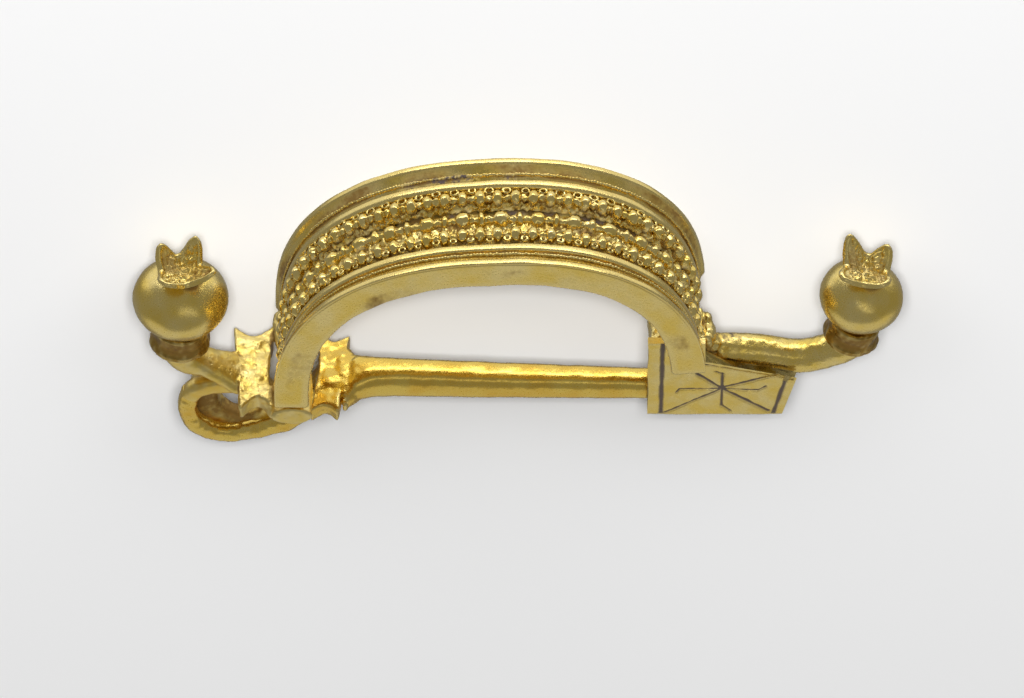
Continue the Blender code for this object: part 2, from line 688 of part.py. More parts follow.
def turned_body(bm, outline, sides, shape):
    """Turn an outline about Z; shape may move a ring's point, given index and angle."""
    bottom = bm.verts.new((0, 0, outline[0][1]))
    top = bm.verts.new((0, 0, outline[-1][1]))
    rings = []
    for index, (radius, height) in enumerate(outline[1:-1]):
        ring = []
        for k in range(sides):
            angle = 2 * math.pi * k / sides
            r, z = (radius, height) if shape is None else shape(index, angle, radius, height)
            ring.append(bm.verts.new((r * math.cos(angle), r * math.sin(angle), z)))
        rings.append(ring)
    for first, second in zip(rings[:-1], rings[1:]):
        for k in range(sides):
            nxt = (k + 1) % sides
            bm.faces.new((first[k], first[nxt], second[nxt], second[k]))
    for k in range(sides):
        nxt = (k + 1) % sides
        bm.faces.new((bottom, rings[0][nxt], rings[0][k]))
        bm.faces.new((top, rings[-1][k], rings[-1][nxt]))


def make_pomegranate(name, radius, half_height, turn, parent):
    """An oblate fruit whose calyx opens in four teeth; its lowest point is the origin."""
    shoulder = math.asin(CALYX_NECK_RADIUS / radius)
    top = half_height * (1 + math.cos(shoulder))
    outline = [(0, 0)]
    for ring in range(1, FRUIT_RINGS + 1):
        angle = math.pi * ring / (FRUIT_RINGS + 1) * (1 - shoulder / math.pi)
        outline.append((radius * math.sin(angle), half_height * (1 - math.cos(angle))))
    outline.append((CALYX_NECK_RADIUS, top))
    lip = len(outline) - 1
    inner_radius = CALYX_NOTCH_RADIUS - CALYX_WALL
    outline += [(CALYX_NOTCH_RADIUS, top + CALYX_NOTCH_HEIGHT),
                (inner_radius, top + CALYX_NOTCH_HEIGHT),
                (CALYX_NECK_RADIUS - CALYX_WALL, top + 0.1 * CALYX_HEIGHT),
                (0, top + 0.05 * CALYX_HEIGHT)]

    def toothed(index, angle, r, z):
        if index not in (lip, lip + 1):
            return r, z
        phase = ((angle - turn) * CALYX_TEETH / (2 * math.pi) + 0.5) % 1.0
        share = 1 - abs(2 * phase - 1)
        share = share ** CALYX_TOOTH_SHARPNESS
        grown = (CALYX_TIP_RADIUS - CALYX_NOTCH_RADIUS) * share
        lifted = (CALYX_HEIGHT - CALYX_NOTCH_HEIGHT) * share
        thinned = CALYX_WALL / 2 * share if index == lip + 1 else 0.0
        return r + grown + thinned, z + lifted

    bm = bmesh.new()
    turned_body(bm, outline, FRUIT_SIDES, toothed)
    return finish_piece(name, bm, gold(f"{name}_gold", GOLD, 0.28), parent)


def make_finial(side, seat, lean, collar_radius, fruit, turn, parent, straightening=0.0):
    """A collar and a pomegranate on one leaning axis above a seat."""
    axis = empty(f"finial_axis_{side}", parent)
    axis.location = seat
    axis.rotation_euler = Euler((0, lean, 0))
    collar = make_collar(f"collar_{side}", collar_radius, axis)
    collar.location = (0, 0, SOLDER_GAP)
    radius, half_height = fruit
    pomegranate = make_pomegranate(f"pomegranate_{side}", radius, half_height, turn, axis)
    pomegranate.location = (0, 0, COLLAR_HEIGHT + 2 * SOLDER_GAP)
    pomegranate.rotation_euler = Euler((0, straightening, 0))


def rest_on_floor(frame):
    """Move the frame so that the lying brooch stands centred on the ground plane."""
    bpy.context.view_layer.update()
    corners = []
    for piece in bpy.data.objects:
        if piece.type == "MESH":
            corners += [piece.matrix_world @ vertex.co for vertex in piece.data.vertices]
    low = Vector([min(corner[k] for corner in corners) for k in range(3)])
    high = Vector([max(corner[k] for corner in corners) for k in range(3)])
    middle = (low + high) / 2
    frame.location -= Vector((middle.x, middle.y, low.z))
    bpy.context.view_layer.update()


def build():
    """Make every piece upright, then lay the brooch on its back rim."""
    clear_scene()
    arch = Arch()
    place = Layout(arch)
    frame = empty("brooch_frame")
    make_bow(arch, frame)
    make_beaded_wires(arch, frame)
    make_head(place, frame)
    make_foot(place, frame)
    hinge = empty("pin_hinge", frame)
    hinge.location = (place.spring_x, place.front_turn_y, place.spring_z)
    hinge.rotation_euler = Euler((HINGE_TILT, 0, 0))
    make_pin(place, hinge)
    left_seat = Vector((place.arm_end_x, 0, ARM_END_HEIGHT - SOLDER_GAP))
    left_fruit = (LEFT_FRUIT_RADIUS, LEFT_FRUIT_HALF_HEIGHT)
    make_finial("left", left_seat, LEFT_LEAN, LEFT_COLLAR_RADIUS, left_fruit, LEFT_CALYX_TURN, frame)
    right_seat = Vector((place.rod_end_x, 0, ROD_HEIGHT + ROD_BEND_RISE))
    right_fruit = (RIGHT_FRUIT_RADIUS, RIGHT_FRUIT_HALF_HEIGHT)
    make_finial("right", right_seat, RIGHT_LEAN, RIGHT_COLLAR_RADIUS, right_fruit, RIGHT_CALYX_TURN,
                frame, RIGHT_FRUIT_STRAIGHTENING)
    frame.rotation_euler = Euler((-math.pi / 2, 0, 0))
    rest_on_floor(frame)


build()
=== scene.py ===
"""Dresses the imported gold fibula: beaded bow, cast head and foot, sprung pin and finials.

The file is laid out as an add-on and is run as a script. Every piece is shaped
upright, in millimetres, as the brooch is worn: X runs from the spring to the catch,
Y from the engraved face to the back, Z from the pin up to the top of the bow.
in_frame() then lays the points down in the frame, in metres.
"""
import json
import math

import bpy
import numpy as np
from mathutils import Matrix, Vector


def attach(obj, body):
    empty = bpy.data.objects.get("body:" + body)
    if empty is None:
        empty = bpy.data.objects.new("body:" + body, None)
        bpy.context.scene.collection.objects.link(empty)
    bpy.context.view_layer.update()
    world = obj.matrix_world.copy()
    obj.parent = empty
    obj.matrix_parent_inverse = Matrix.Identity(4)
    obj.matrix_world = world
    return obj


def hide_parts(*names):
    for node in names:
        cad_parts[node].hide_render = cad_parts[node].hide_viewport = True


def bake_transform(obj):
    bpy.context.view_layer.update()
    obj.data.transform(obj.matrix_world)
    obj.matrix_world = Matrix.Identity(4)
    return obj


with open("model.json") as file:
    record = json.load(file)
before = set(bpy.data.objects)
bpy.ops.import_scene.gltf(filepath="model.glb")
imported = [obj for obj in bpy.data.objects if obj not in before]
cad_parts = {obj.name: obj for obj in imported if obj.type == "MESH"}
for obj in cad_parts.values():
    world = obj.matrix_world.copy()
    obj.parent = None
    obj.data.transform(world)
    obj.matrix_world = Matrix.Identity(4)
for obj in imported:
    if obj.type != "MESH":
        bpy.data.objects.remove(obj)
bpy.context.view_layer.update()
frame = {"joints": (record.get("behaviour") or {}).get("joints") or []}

bl_info = {
    "name": "Arch-bow fibula",
    "version": (1, 0, 0),
    "blender": (4, 5, 0),
    "location": "3D View > Sidebar > Fibula",
    "description": "Dresses a packed gold fibula brooch with its fine surfaces",
    "category": "Object",
}

MM = 0.001

# The middle of the spring's front turn, upright; the frame's hinge lies on it
SPRING_CENTRE = (-16.966, -0.75, -1.3)
HINGE = Vector(frame["joints"][0]["pos_m"]) / MM
ORIGIN = (
    HINGE.x - SPRING_CENTRE[0],
    HINGE.y - SPRING_CENTRE[2],
    HINGE.z + SPRING_CENTRE[1],
)

# Clearances, overlaps and reaches, in millimetres
SOLDER_GAP = 0.1
SWING_GAP = 0.3
STAR_BAR_OVERLAP = 0.15
BLOCK_REACH = 1.4
ROD_RISE = 1.15
PIN_TIP_INSET = 1.6
PIN_HALF_AT_CATCH = 0.9
WIRE_MARGIN = 0.3

# The middle beaded wire lies a little nearer the front row
MIDDLE_ROW_Y = -0.2

# How finely the castings are melted together, and how often they are smoothed
WAX_VOXEL = 0.075
WAX_PASSES = 3

# Angles of the coil and of the pin's own turn, in degrees from the spring's back turn
COIL_START, COIL_END = 70, 516
PIN_TURN_START, PIN_TURN_END = 510, 650

# Rings of a pomegranate's body, of its cup's outside and of its rim
FRUIT_SIDES = 220
BODY_RINGS, CUP_RINGS, LIP_RINGS = 64, 18, 6

# Each tooth's direction in degrees, its share of the calyx height and its reach outwards
FRUIT_TEETH = {
    "left": ((139, 63, -23.5, -123), (0.8, 0.86, 0.7, 0.56), (1.85, 2.05, 2.35, 2.1)),
    "right": ((128, 42, -50, -142), (0.96, 0.8, 0.46, 0.48), (2.1, 1.85, 1.95, 2.1)),
}

# What the lights and the camera are aimed at, upright
LIT_MIDDLE = (0.0, 0.0, 6.0)
VIEW_MIDDLE = (1.526, 0.0, 3.3)


def mm(length):
    """A length in metres, in millimetres."""
    return length / MM


def in_frame(points):
    """Upright points in millimetres, laid down in the frame, in metres."""
    x, y, z = np.moveaxis(np.asarray(points, float), -1, 0)
    laid = np.stack([ORIGIN[0] + x, ORIGIN[1] + z, ORIGIN[2] - y], axis=-1)
    return laid * MM


def length(name, description, millimetres):
    """A length property with its default in millimetres."""
    return bpy.props.FloatProperty(
        name=name, description=description, default=millimetres * MM, unit="LENGTH", precision=5)


def angle(name, description, degrees):
    """An angle property with its default in degrees."""
    return bpy.props.FloatProperty(
        name=name, description=description, default=math.radians(degrees), subtype="ANGLE")


def share(name, description, value):
    """A plain number, most often a share of another size."""
    return bpy.props.FloatProperty(name=name, description=description, default=value)


def colour(name, description, value):
    """A linear colour."""
    return bpy.props.FloatVectorProperty(
        name=name, description=description, default=value, size=3, subtype="COLOR", min=0, max=1)


class FibulaBow(bpy.types.PropertyGroup):
    """Sizes of the arched band and of the wires in its channel"""

    span: length("Span", "Width of the arch over its rims", 27.95)
    width: length("Width", "Width of the band from rim to rim", 9.2)
    thickness: length("Thickness", "Height of the band's outer sides", 2.3)
    springing: length("Springing height", "Height above the pin at which the arch is widest", 4.05)
    rise: length("Rise", "Height of the arch above its springing", 12.5)
    left_end: length("Left end", "Height above the pin of the end at the spring", 2.5)
    right_end: length("Right end", "Height above the pin of the end at the catch", 5.9)
    centre: length("Centre", "Place of the arch's middle along the brooch", 0.1)
    squareness: share("Squareness", "Power of the arch's curve, where 2 is an ellipse", 2.33)
    lean: share("Lean", "Rise of the arch's axis from the spring to the catch", 0.056)
    channel_half: length("Channel half width", "Half the width of the sunk channel", 2.35)
    channel_depth: length("Channel depth", "Depth of the channel's floor below the rims", 1.18)
    row_spacing: length("Row spacing", "Distance between the beaded wires", 1.6)
    row_depth: length("Row depth", "Depth of the beaded wires' axes below the rims", 0.58)
    bead_pitch: length("Bead pitch", "Distance between beads of the outer wires", 1.14)
    reel_pitch: length("Reel pitch", "Distance between long beads of the middle wire", 2.4)
    bead: length("Bead", "Diameter of the beads", 1.0)
    fine_pitch: length("Fine pitch", "Distance between beads of the fine wires", 0.21)
    fine_bead: length("Fine bead", "Diameter of the fine wires' beads", 0.24)
    fine_inset: length("Fine wire inset", "Distance of a fine wire from the band's side", 1.12)


class FibulaHead(bpy.types.PropertyGroup):
    """Sizes of the cast head, the spring and the pin"""

    star_length: length("Plate length", "Length of the four-tipped plate over its tips", 7.6)
    head_star_width: length("Head plate width", "Width of the plate on the head", 2.5)
    pin_star_width: length("Pin plate width", "Width of the plate at the pin's root", 2.1)
    star_thickness: length("Plate thickness", "Thickness of the four-tipped plates", 1.4)
    head_star_top: length("Head plate top", "Height above the pin of the head plate's face", 1.65)
    pin_star_top: length("Pin plate top", "Height above the pin of the pin plate's face", 1.2)
    bar_width: length("Bar width", "Width of the bar under the bow's end", 2.6)
    bar_height: length("Bar height", "Height of the bar under the bow's end", 1.45)
    spring_radius: length("Spring radius", "Radius of the spring to the middle of its wire", 2.68)
    wire: length("Spring wire", "Thickness of the spring's wire", 1.14)
    coil_pitch: length("Coil pitch", "Distance between neighbouring turns of the spring", 1.18)
    back_shift: length("Back turn shift", "Sideways shift of the spring's back turn", 0.65)
    arm_reach: length("Arm reach", "Reach of the arm from the head plate to its finial", 4.9)
    arm_end: length("Arm end", "Height above the pin at which the arm ends", 4.0)
    pin_root: length("Pin root", "Thickness of the pin at its root", 2.4)
    pin_mouth: length("Pin mouth", "Thickness of the pin where it enters the catch", 1.8)


class FibulaFoot(bpy.types.PropertyGroup):
    """Sizes of the foot's rod and of the engraved catch"""

    rod: length("Rod", "Thickness of the rod", 2.2)
    rod_height: length("Rod height", "Height of the rod's axis above the pin", 3.2)
    rod_reach: length("Rod reach", "Reach of the rod beyond the bow's end", 9.35)
    catch_bottom: length("Catch bottom", "Length of the catch plate's lower edge", 8.7)
    catch_slant: length("Catch slant", "Slant of the plate's free end", 0.95)
    catch_drop: length("Catch drop", "Reach of the plate below the pin's axis", 1.34)
    sheet: length("Sheet", "Thickness of the folded plate", 0.5)
    groove_depth: length("Groove depth", "Depth of the engraved lines", 0.1)


class FibulaFinials(bpy.types.PropertyGroup):
    """Sizes of the two pomegranates and of the collars under them"""

    left_radius: length("Left radius", "Radius of the fruit at the spring end", 3.1)
    left_half: length("Left half height", "Half the height of the fruit at the spring end", 2.35)
    left_lean: angle("Left lean", "Lean of the finial at the spring end", 1.5)
    right_radius: length("Right radius", "Radius of the fruit at the catch end", 2.71)
    right_half: length("Right half height", "Half the height of the fruit at the catch end", 2.2)
    right_lean: angle("Right lean", "Lean of the finial at the catch end", 13.5)
    right_straight: angle("Right fruit lean", "Lean of the right fruit against its collar", -7.0)
    collar_height: length("Collar height", "Height of the turned collars", 1.75)
    left_collar: length("Left collar", "Radius of the collar at the spring end", 2.0)
    right_collar: length("Right collar", "Radius of the collar at the catch end", 1.85)
    calyx_height: length("Calyx height", "Height of the calyx teeth above the fruit", 1.9)
    calyx_neck: length("Calyx neck", "Radius of the calyx where it leaves the fruit", 1.1)


class FibulaFinish(bpy.types.PropertyGroup):
    """Colours of the gold, of what lies in its recesses and of the shade painted there"""

    gold: colour("Gold", "Clean yellow gold", (0.90, 0.65, 0.14))
    pale: colour("Pale gold", "Rubbed, paler gold", (0.92, 0.73, 0.28))
    deep: colour("Deep gold", "Reddish gold of the castings", (0.86, 0.55, 0.09))
    dull: colour("Dull gold", "Dark, dulled gold of the collars", (0.31, 0.19, 0.04))
    # The soil colour also stands for painted shade in recesses, creases and gaps.
    soil_and_shade: colour("Soil", "Brown dirt in the recesses", (0.24, 0.13, 0.03))
    stain: colour("Stain", "Dark tarnish", (0.062, 0.046, 0.042))
    fill: colour("Fill", "Dark filling of the engraved lines", (0.085, 0.062, 0.045))


class FibulaStage(bpy.types.PropertyGroup):
    """The floor, the lights and the camera"""

    floor: colour("Floor", "Colour of the pale floor", (0.90, 0.90, 0.90))
    distance: length("Camera distance", "Distance from the camera to the brooch", 900.0)
    view_width: length("View width", "Width of the picture at the brooch", 66.5)
    elevation: angle("Camera elevation", "Height of the camera above the floor", 42.0)


GROUPS = {
    "fibula_bow": FibulaBow,
    "fibula_head": FibulaHead,
    "fibula_foot": FibulaFoot,
    "fibula_finials": FibulaFinials,
    "fibula_finish": FibulaFinish,
    "fibula_stage": FibulaStage,
}


# Surfaces: every helper here works on upright points in millimetres

def lumps(points, size, seed):
    """Soft random relief of about unit height, with features of the given size."""
    draw = np.random.default_rng(seed)
    waves = 14
    directions = draw.normal(size=(waves, 3))
    directions /= np.linalg.norm(directions, axis=1)[:, None]
    rates = 2 * math.pi / size * draw.uniform(0.6, 1.4, waves)
    phases = draw.uniform(0, 2 * math.pi, waves)
    return np.sin(points @ (directions * rates[:, None]).T + phases).sum(axis=1) / math.sqrt(waves / 2)


def ramp(values, low, high):
    """0 below low, 1 above high, and a soft step between them."""
    t = np.clip((values - low) / (high - low), 0, 1)
    return t * t * (3 - 2 * t)


def window(values, low, full, still, high):
    """0 outside low and high, 1 from full to still, and soft steps between them."""
    return ramp(values, low, full) * ramp(-values, -high, -still)


def near(values, place, full, none):
    """1 within one distance of a place and 0 beyond another, with a soft step."""
    return ramp(-np.abs(values - place), -none, -full)


def full_turn(sides, start=0.0):
    """Angles evenly around a circle."""
    return 2 * math.pi * (np.arange(sides) + start) / sides


def powered(values, power):
    """Values from -1 to 1 raised to a power, with their signs kept."""
    return np.copysign(np.abs(values) ** power, values)


def rounded(corners, radii, spacing):
    """A closed outline with rounded corners, with points about a spacing apart."""
    corners = [np.array(corner, float) for corner in corners]
    count = len(corners)
    arcs = []
    for k, corner in enumerate(corners):
        before, after = corners[k - 1] - corner, corners[(k + 1) % count] - corner
        reach = min(np.linalg.norm(before), np.linalg.norm(after)) * 0.48
        before, after = before / np.linalg.norm(before), after / np.linalg.norm(after)
        half = math.acos(float(np.clip(before @ after, -1, 1))) / 2
        cut = min(radii[k] / max(math.tan(half), 1e-6), reach)
        radius = cut * math.tan(half)
        steps = max(int(math.ceil(radius * (math.pi - 2 * half) / spacing)) + 1, 2)
        ends = corner + before * cut, corner + after * cut
        if cut < 1e-6 or half > 1.55:
            arcs.append([corner])
            continue
        bisector = (before + after) / np.linalg.norm(before + after)
        centre = corner + bisector * radius / math.sin(half)
        first, last = ends[0] - centre, ends[1] - centre
        sweep = math.pi - 2 * half
        arc = []
        for step in range(steps + 1):
            t = step / steps
            between = first * math.sin((1 - t) * sweep) + last * math.sin(t * sweep)
            arc.append(centre + between / math.sin(sweep))
        arcs.append(arc)
    outline = []
    for k, arc in enumerate(arcs):
        outline += arc
        start, end = arc[-1], arcs[(k + 1) % count][0]
        pieces = max(int(round(np.linalg.norm(end - start) / spacing)), 1)
        outline += [start + (end - start) * step / pieces for step in range(1, pieces)]
    return np.array(outline)


def smooth_path(stops, spacing):
    """A Catmull-Rom curve through stops of any width, resampled at an even spacing."""
    stops = np.array(stops, float)
    padded = np.vstack([2 * stops[0] - stops[1], stops, 2 * stops[-1] - stops[-2]])
    t = np.linspace(0, 1, 24, endpoint=False)[:, None]
    runs = []
    for a, b, c, d in zip(padded, padded[1:], padded[2:], padded[3:]):
        runs.append(0.5 * (2 * b + (c - a) * t + (2 * a - 5 * b + 4 * c - d) * t ** 2
                           + (3 * b - a - 3 * c + d) * t ** 3))
    curve = np.vstack(runs + [stops[-1:]])
    run = np.concatenate([[0], np.cumsum(np.linalg.norm(np.diff(curve[:, :3], axis=0), axis=1))])
    places = np.linspace(0, run[-1], max(int(run[-1] / spacing), 2) + 1)
    return np.stack([np.interp(places, run, curve[:, k]) for k in range(curve.shape[1])], axis=1)


def swept(path, sides, boxiness):
    """Rings of a rod along a path of (x, y, z, half width across, half depth)."""
    centres = path[:, :3]
    along = np.gradient(centres, axis=0)
    along /= np.linalg.norm(along, axis=1)[:, None]
    up = np.cross(along, (0.0, 1.0, 0.0))
    up /= np.linalg.norm(up, axis=1)[:, None]
    side = np.cross(up, along)
    turns = full_turn(sides, 0.5)
    across = powered(np.cos(turns), 2 / boxiness)
    rise = powered(np.sin(turns), 2 / boxiness)
    return (centres[:, None] + side[:, None] * across[None, :, None] * path[:, 3][:, None, None]
            + up[:, None] * rise[None, :, None] * path[:, 4][:, None, None])


def turned(turns, radius, height):
    """A ring of a turned shape, with one radius and height or one at each angle."""
    return np.column_stack([radius * np.cos(turns), radius * np.sin(turns), height + np.zeros(len(turns))])


def ring_faces(rings, sides, caps=True):
    """Quads between rings of equal size, with the two ends closed if asked."""
    rows = np.arange(rings - 1)[:, None] * sides
    here = np.arange(sides)[None]
    beside = (here + 1) % sides
    quads = np.stack([rows + here, rows + beside, rows + sides + beside, rows + sides + here], axis=-1)
    faces = quads.reshape(-1, 4).tolist()
    if caps:
        last = (rings - 1) * sides
        faces.append(list(range(sides - 1, -1, -1)))
        faces.append(list(range(last, last + sides)))
    return faces


def skinned(rings):
    """Points and faces of a closed skin over an array of rings."""
    count, sides = rings.shape[:2]
    return rings.reshape(-1, 3), ring_faces(count, sides)


def gathered(shells):
    """Several (points, faces) shells as one."""
    points, faces, start = [], [], 0
    for shell_points, shell_faces in shells:
        points.append(shell_points)
        faces += [[index + start for index in face] for face in shell_faces]
        start += len(shell_points)
    return np.vstack(points), faces


def plain_mesh(name, points, faces):
    """A mesh in millimetres with outward faces."""
    mesh = bpy.data.meshes.new(name)
    mesh.from_pydata(points.tolist(), [], faces)
    mesh.validate()
    mesh.calc_loop_triangles()
    corners = np.zeros(len(mesh.loop_triangles) * 3, np.int64)
    mesh.loop_triangles.foreach_get("vertices", corners)
    a, b, c = (points[corners.reshape(-1, 3)[:, k]] for k in range(3))
    if (a * np.cross(b, c)).sum() < 0:
        mesh.flip_normals()
    return mesh


def coordinates(mesh):
    """A mesh's points as an array."""
    points = np.zeros(len(mesh.vertices) * 3)
    mesh.vertices.foreach_get("co", points)
    return points.reshape(-1, 3)


def normals(mesh):
    """The normals at a mesh's points as an array."""
    mesh.update()
    found = np.zeros(len(mesh.vertices) * 3)
    mesh.vertex_normals.foreach_get("vector", found)
    return found.reshape(-1, 3)


def set_coordinates(mesh, points):
    """Move a mesh's points."""
    mesh.vertices.foreach_set("co", np.ascontiguousarray(points, np.float32).ravel())
    mesh.update()


def softened(mesh, points, passes):
    """The points after each has moved towards its neighbours a number of times."""
    edges = np.zeros(len(mesh.edges) * 2, np.int64)
    mesh.edges.foreach_get("vertices", edges)
    first, second = edges.reshape(-1, 2).T
    count = len(points)
    degree = np.maximum(np.bincount(first, minlength=count) + np.bincount(second, minlength=count), 1)
    soft = points.copy()
    for _ in range(passes):
        for axis in range(soft.shape[1]):
            column = soft[:, axis]
            total = (np.bincount(first, column[second], minlength=count)
                     + np.bincount(second, column[first], minlength=count))
            soft[:, axis] = (column + total / degree) / 2
    return soft


def proud(mesh, passes):
    """How far each point stands above its surroundings, in millimetres."""
    points = coordinates(mesh)
    return ((points - softened(mesh, points, passes)) * normals(mesh)).sum(axis=1)


def cast_together(name, shells):
    """Closed shells melted into one skin, as the waxes of a casting are."""
    mesh = plain_mesh(name, *gathered(shells))
    wax = bpy.data.objects.new(name, mesh)
    bpy.context.scene.collection.objects.link(wax)
    remesh = wax.modifiers.new("melt", "REMESH")
    remesh.mode = "VOXEL"
    remesh.voxel_size = WAX_VOXEL
    remesh.adaptivity = 0
    depsgraph = bpy.context.evaluated_depsgraph_get()
    skin = bpy.data.meshes.new_from_object(wax.evaluated_get(depsgraph))
    bpy.data.objects.remove(wax)
    bpy.data.meshes.remove(mesh)
    set_coordinates(skin, softened(skin, coordinates(skin), WAX_PASSES))
    return skin


def roughen(mesh, layers, mask=None):
    """Push points in and out by layers of (feature size, height, seed)."""
    points, out = coordinates(mesh), normals(mesh)
    heights = sum(height * lumps(points, size, seed) for size, height, seed in layers)
    if mask is not None:
        heights = heights * mask
    set_coordinates(mesh, points + out * heights[:, None])


def paint(mesh, name, values):
    """Keep a number from 0 to 1 at each point for the material to read."""
    layer = mesh.attributes.new(name, "FLOAT", "POINT")
    layer.data.foreach_set("value", np.clip(values, 0, 1).astype(np.float32))


def show(name, mesh, material, body, replaced=(), sharp=50):
    """Lay a finished mesh down in the frame; edges over sharp degrees stay sharp."""
    set_coordinates(mesh, in_frame(coordinates(mesh)))
    mesh.name = name
    mesh.shade_smooth()
    mesh.set_sharp_from_angle(angle=math.radians(sharp))
    mesh.materials.clear()
    mesh.materials.append(material)
    piece = bpy.data.objects.new(name, mesh)
    bpy.context.scene.collection.objects.link(piece)
    if body is not None:
        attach(piece, body)
    if replaced:
        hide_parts(*replaced)
    return piece


# Materials

class Nodes:
    """Short hand for wiring a material's nodes."""

    def __init__(self, name):
        self.material = bpy.data.materials.new(name)
        self.material.use_nodes = True
        self.tree = self.material.node_tree
        self.shader = self.tree.nodes["Principled BSDF"]
        self.place = self.add("ShaderNodeTexCoord").outputs["Object"]

    def add(self, kind, **settings):
        """A new node with its settings."""
        node = self.tree.nodes.new(kind)
        for key, value in settings.items():
            setattr(node, key, value)
        return node

    def link(self, source, target):
        """Feed a socket from another one, or set it to a plain value."""
        if isinstance(source, (int, float, tuple, list)):
            target.default_value = source
        else:
            self.tree.links.new(source, target)

    def read(self, name):
        """A number that was painted on the mesh."""
        return self.add("ShaderNodeAttribute", attribute_name=name).outputs["Fac"]

    def noise(self, size, detail=3.0, stretch=(1, 1, 1), turn=(0, 0, 0)):
        """Noise whose features are about a size across, in millimetres."""
        mapping = self.add("ShaderNodeMapping", vector_type="TEXTURE")
        mapping.inputs["Rotation"].default_value = turn
        mapping.inputs["Scale"].default_value = [size * MM * s for s in stretch]
        self.link(self.place, mapping.inputs["Vector"])
        noise = self.add("ShaderNodeTexNoise")
        noise.inputs["Scale"].default_value = 1.0
        noise.inputs["Detail"].default_value = detail
        self.link(mapping.outputs["Vector"], noise.inputs["Vector"])
        return noise.outputs["Fac"]

    def pits(self, size):
        """Small round pits about a size apart, in millimetres; 1 is the flat."""
        cells = self.add("ShaderNodeTexVoronoi")
        cells.inputs["Scale"].default_value = 1 / (size * MM)
        self.link(self.place, cells.inputs["Vector"])
        return self.span(cells.outputs["Distance"], 0.08, 0.32, 0, 1)

    def span(self, source, low, high, out_low, out_high):
        """Map one range to another, held at its ends."""
        node = self.add("ShaderNodeMapRange")
        self.link(source, node.inputs["Value"])
        for key, value in zip(("From Min", "From Max", "To Min", "To Max"), (low, high, out_low, out_high)):
            node.inputs[key].default_value = value
        return node.outputs["Result"]

    def math(self, operation, first, second):
        """Two values combined, and held from 0 to 1 unless they are added."""
        node = self.add("ShaderNodeMath", operation=operation, use_clamp=operation != "ADD")
        self.link(first, node.inputs[0])
        self.link(second, node.inputs[1])
        return node.outputs[0]

    def blend(self, factor, first, second):
        """A mix of two colours."""
        node = self.add("ShaderNodeMix", data_type="RGBA")
        self.link(factor, node.inputs["Factor"])
        for source, socket in ((first, node.inputs["A"]), (second, node.inputs["B"])):
            self.link((*source, 1.0) if isinstance(source, tuple) else source, socket)
        return node.outputs["Result"]

    def bump(self, height, distance, below=None):
        """A bump of a height map over a distance in millimetres."""
        node = self.add("ShaderNodeBump")
        node.inputs["Distance"].default_value = distance * MM
        self.link(height, node.inputs["Height"])
        if below is not None:
            self.link(below, node.inputs["Normal"])
        return node.outputs["Normal"]


def gold_finish(name, tones, roughness, scratches, pitting, cloud, filled=False):
    """Old gold: two tones in clouds, dirt with painted shade and tarnish where painted, scratches and pits.

    A filled one also has the dark filling of the engraved lines.
    """
    finish = bpy.context.scene.fibula_finish
    nodes = Nodes(name)
    grime_and_shade, stain, wear = nodes.read("grime_and_shade"), nodes.read("stain"), nodes.read("wear")
    clouds = nodes.span(nodes.noise(cloud, 4.0), 0.35, 0.65, 0, 1)
    grain = nodes.noise(0.16, 2.0)
    metal = nodes.blend(clouds, tuple(tones[0]), tuple(tones[1]))
    metal = nodes.blend(nodes.math("MULTIPLY", wear, 0.75), metal, tuple(finish.pale))
    # The soil colour is mixed in where the painted mask asks: dirt, and painted shade in recesses, creases
    # and gaps.
    patchy = nodes.span(nodes.math("ADD", nodes.noise(0.35, 4.0), grime_and_shade), 0.62, 1.25, 0, 1)
    soiled_and_shaded = nodes.math("MULTIPLY", patchy, nodes.span(grime_and_shade, 0.02, 0.5, 0, 0.92))
    dirty_and_shaded = nodes.blend(soiled_and_shaded, metal, tuple(finish.soil_and_shade))
    spotted = nodes.math("MULTIPLY", stain, nodes.span(nodes.noise(0.5, 5.0), 0.38, 0.56, 0, 1))
    colour_there = nodes.blend(spotted, dirty_and_shaded, tuple(finish.stain))
    cover = nodes.math("MAXIMUM", nodes.math("MULTIPLY", soiled_and_shaded, 0.35), spotted)
    metallic = nodes.span(cover, 0, 1, 1.0, 0.25)
    if filled:
        fill = nodes.read("fill")
        colour_there = nodes.blend(fill, colour_there, tuple(finish.fill))
        metallic = nodes.math("MULTIPLY", metallic, nodes.span(fill, 0, 1, 1.0, 0.2))
    nodes.link(colour_there, nodes.shader.inputs["Base Color"])
    nodes.link(metallic, nodes.shader.inputs["Metallic"])
    rubbed = nodes.span(grain, 0.3, 0.7, roughness - 0.06, roughness + 0.08)
    dull = nodes.math("ADD", rubbed, nodes.math("MULTIPLY", cover, 0.4))
    nodes.link(dull, nodes.shader.inputs["Roughness"])
    fine = nodes.noise(0.5, 3.0, (1, 0.05, 0.05), (0.3, 0.5, 0.9))
    cross = nodes.noise(0.6, 2.0, (0.05, 1, 0.05), (0.2, -0.4, -0.5))
    normal = nodes.bump(nodes.math("ADD", fine, cross), scratches * 0.25)
    normal = nodes.bump(nodes.pits(0.3), pitting * 0.5, normal)
    normal = nodes.bump(nodes.noise(0.12, 3.0), pitting * 0.35, normal)
    nodes.link(normal, nodes.shader.inputs["Normal"])
    return nodes.material


def paint_gold(mesh, passes, soil_and_shade=None, stain=None, depth=0.035, worn=1.0):
    """Dirt and painted shade where the surface is sunk, wear where it stands proud."""
    points = coordinates(mesh)
    relief = proud(mesh, passes)
    uneven = 0.75 + 0.35 * lumps(points, 2.6, 5)
    # Points sunk below their surroundings get dirt and painted shade.
    grime_and_shade = ramp(-relief, 0.004, depth) * uneven
    if soil_and_shade is not None:
        grime_and_shade = np.maximum(grime_and_shade, soil_and_shade * uneven)
    paint(mesh, "grime_and_shade", grime_and_shade)
    paint(mesh, "wear", worn * ramp(relief, 0.006, depth))
    paint(mesh, "stain", np.zeros(len(points)) if stain is None else stain)


# The bow

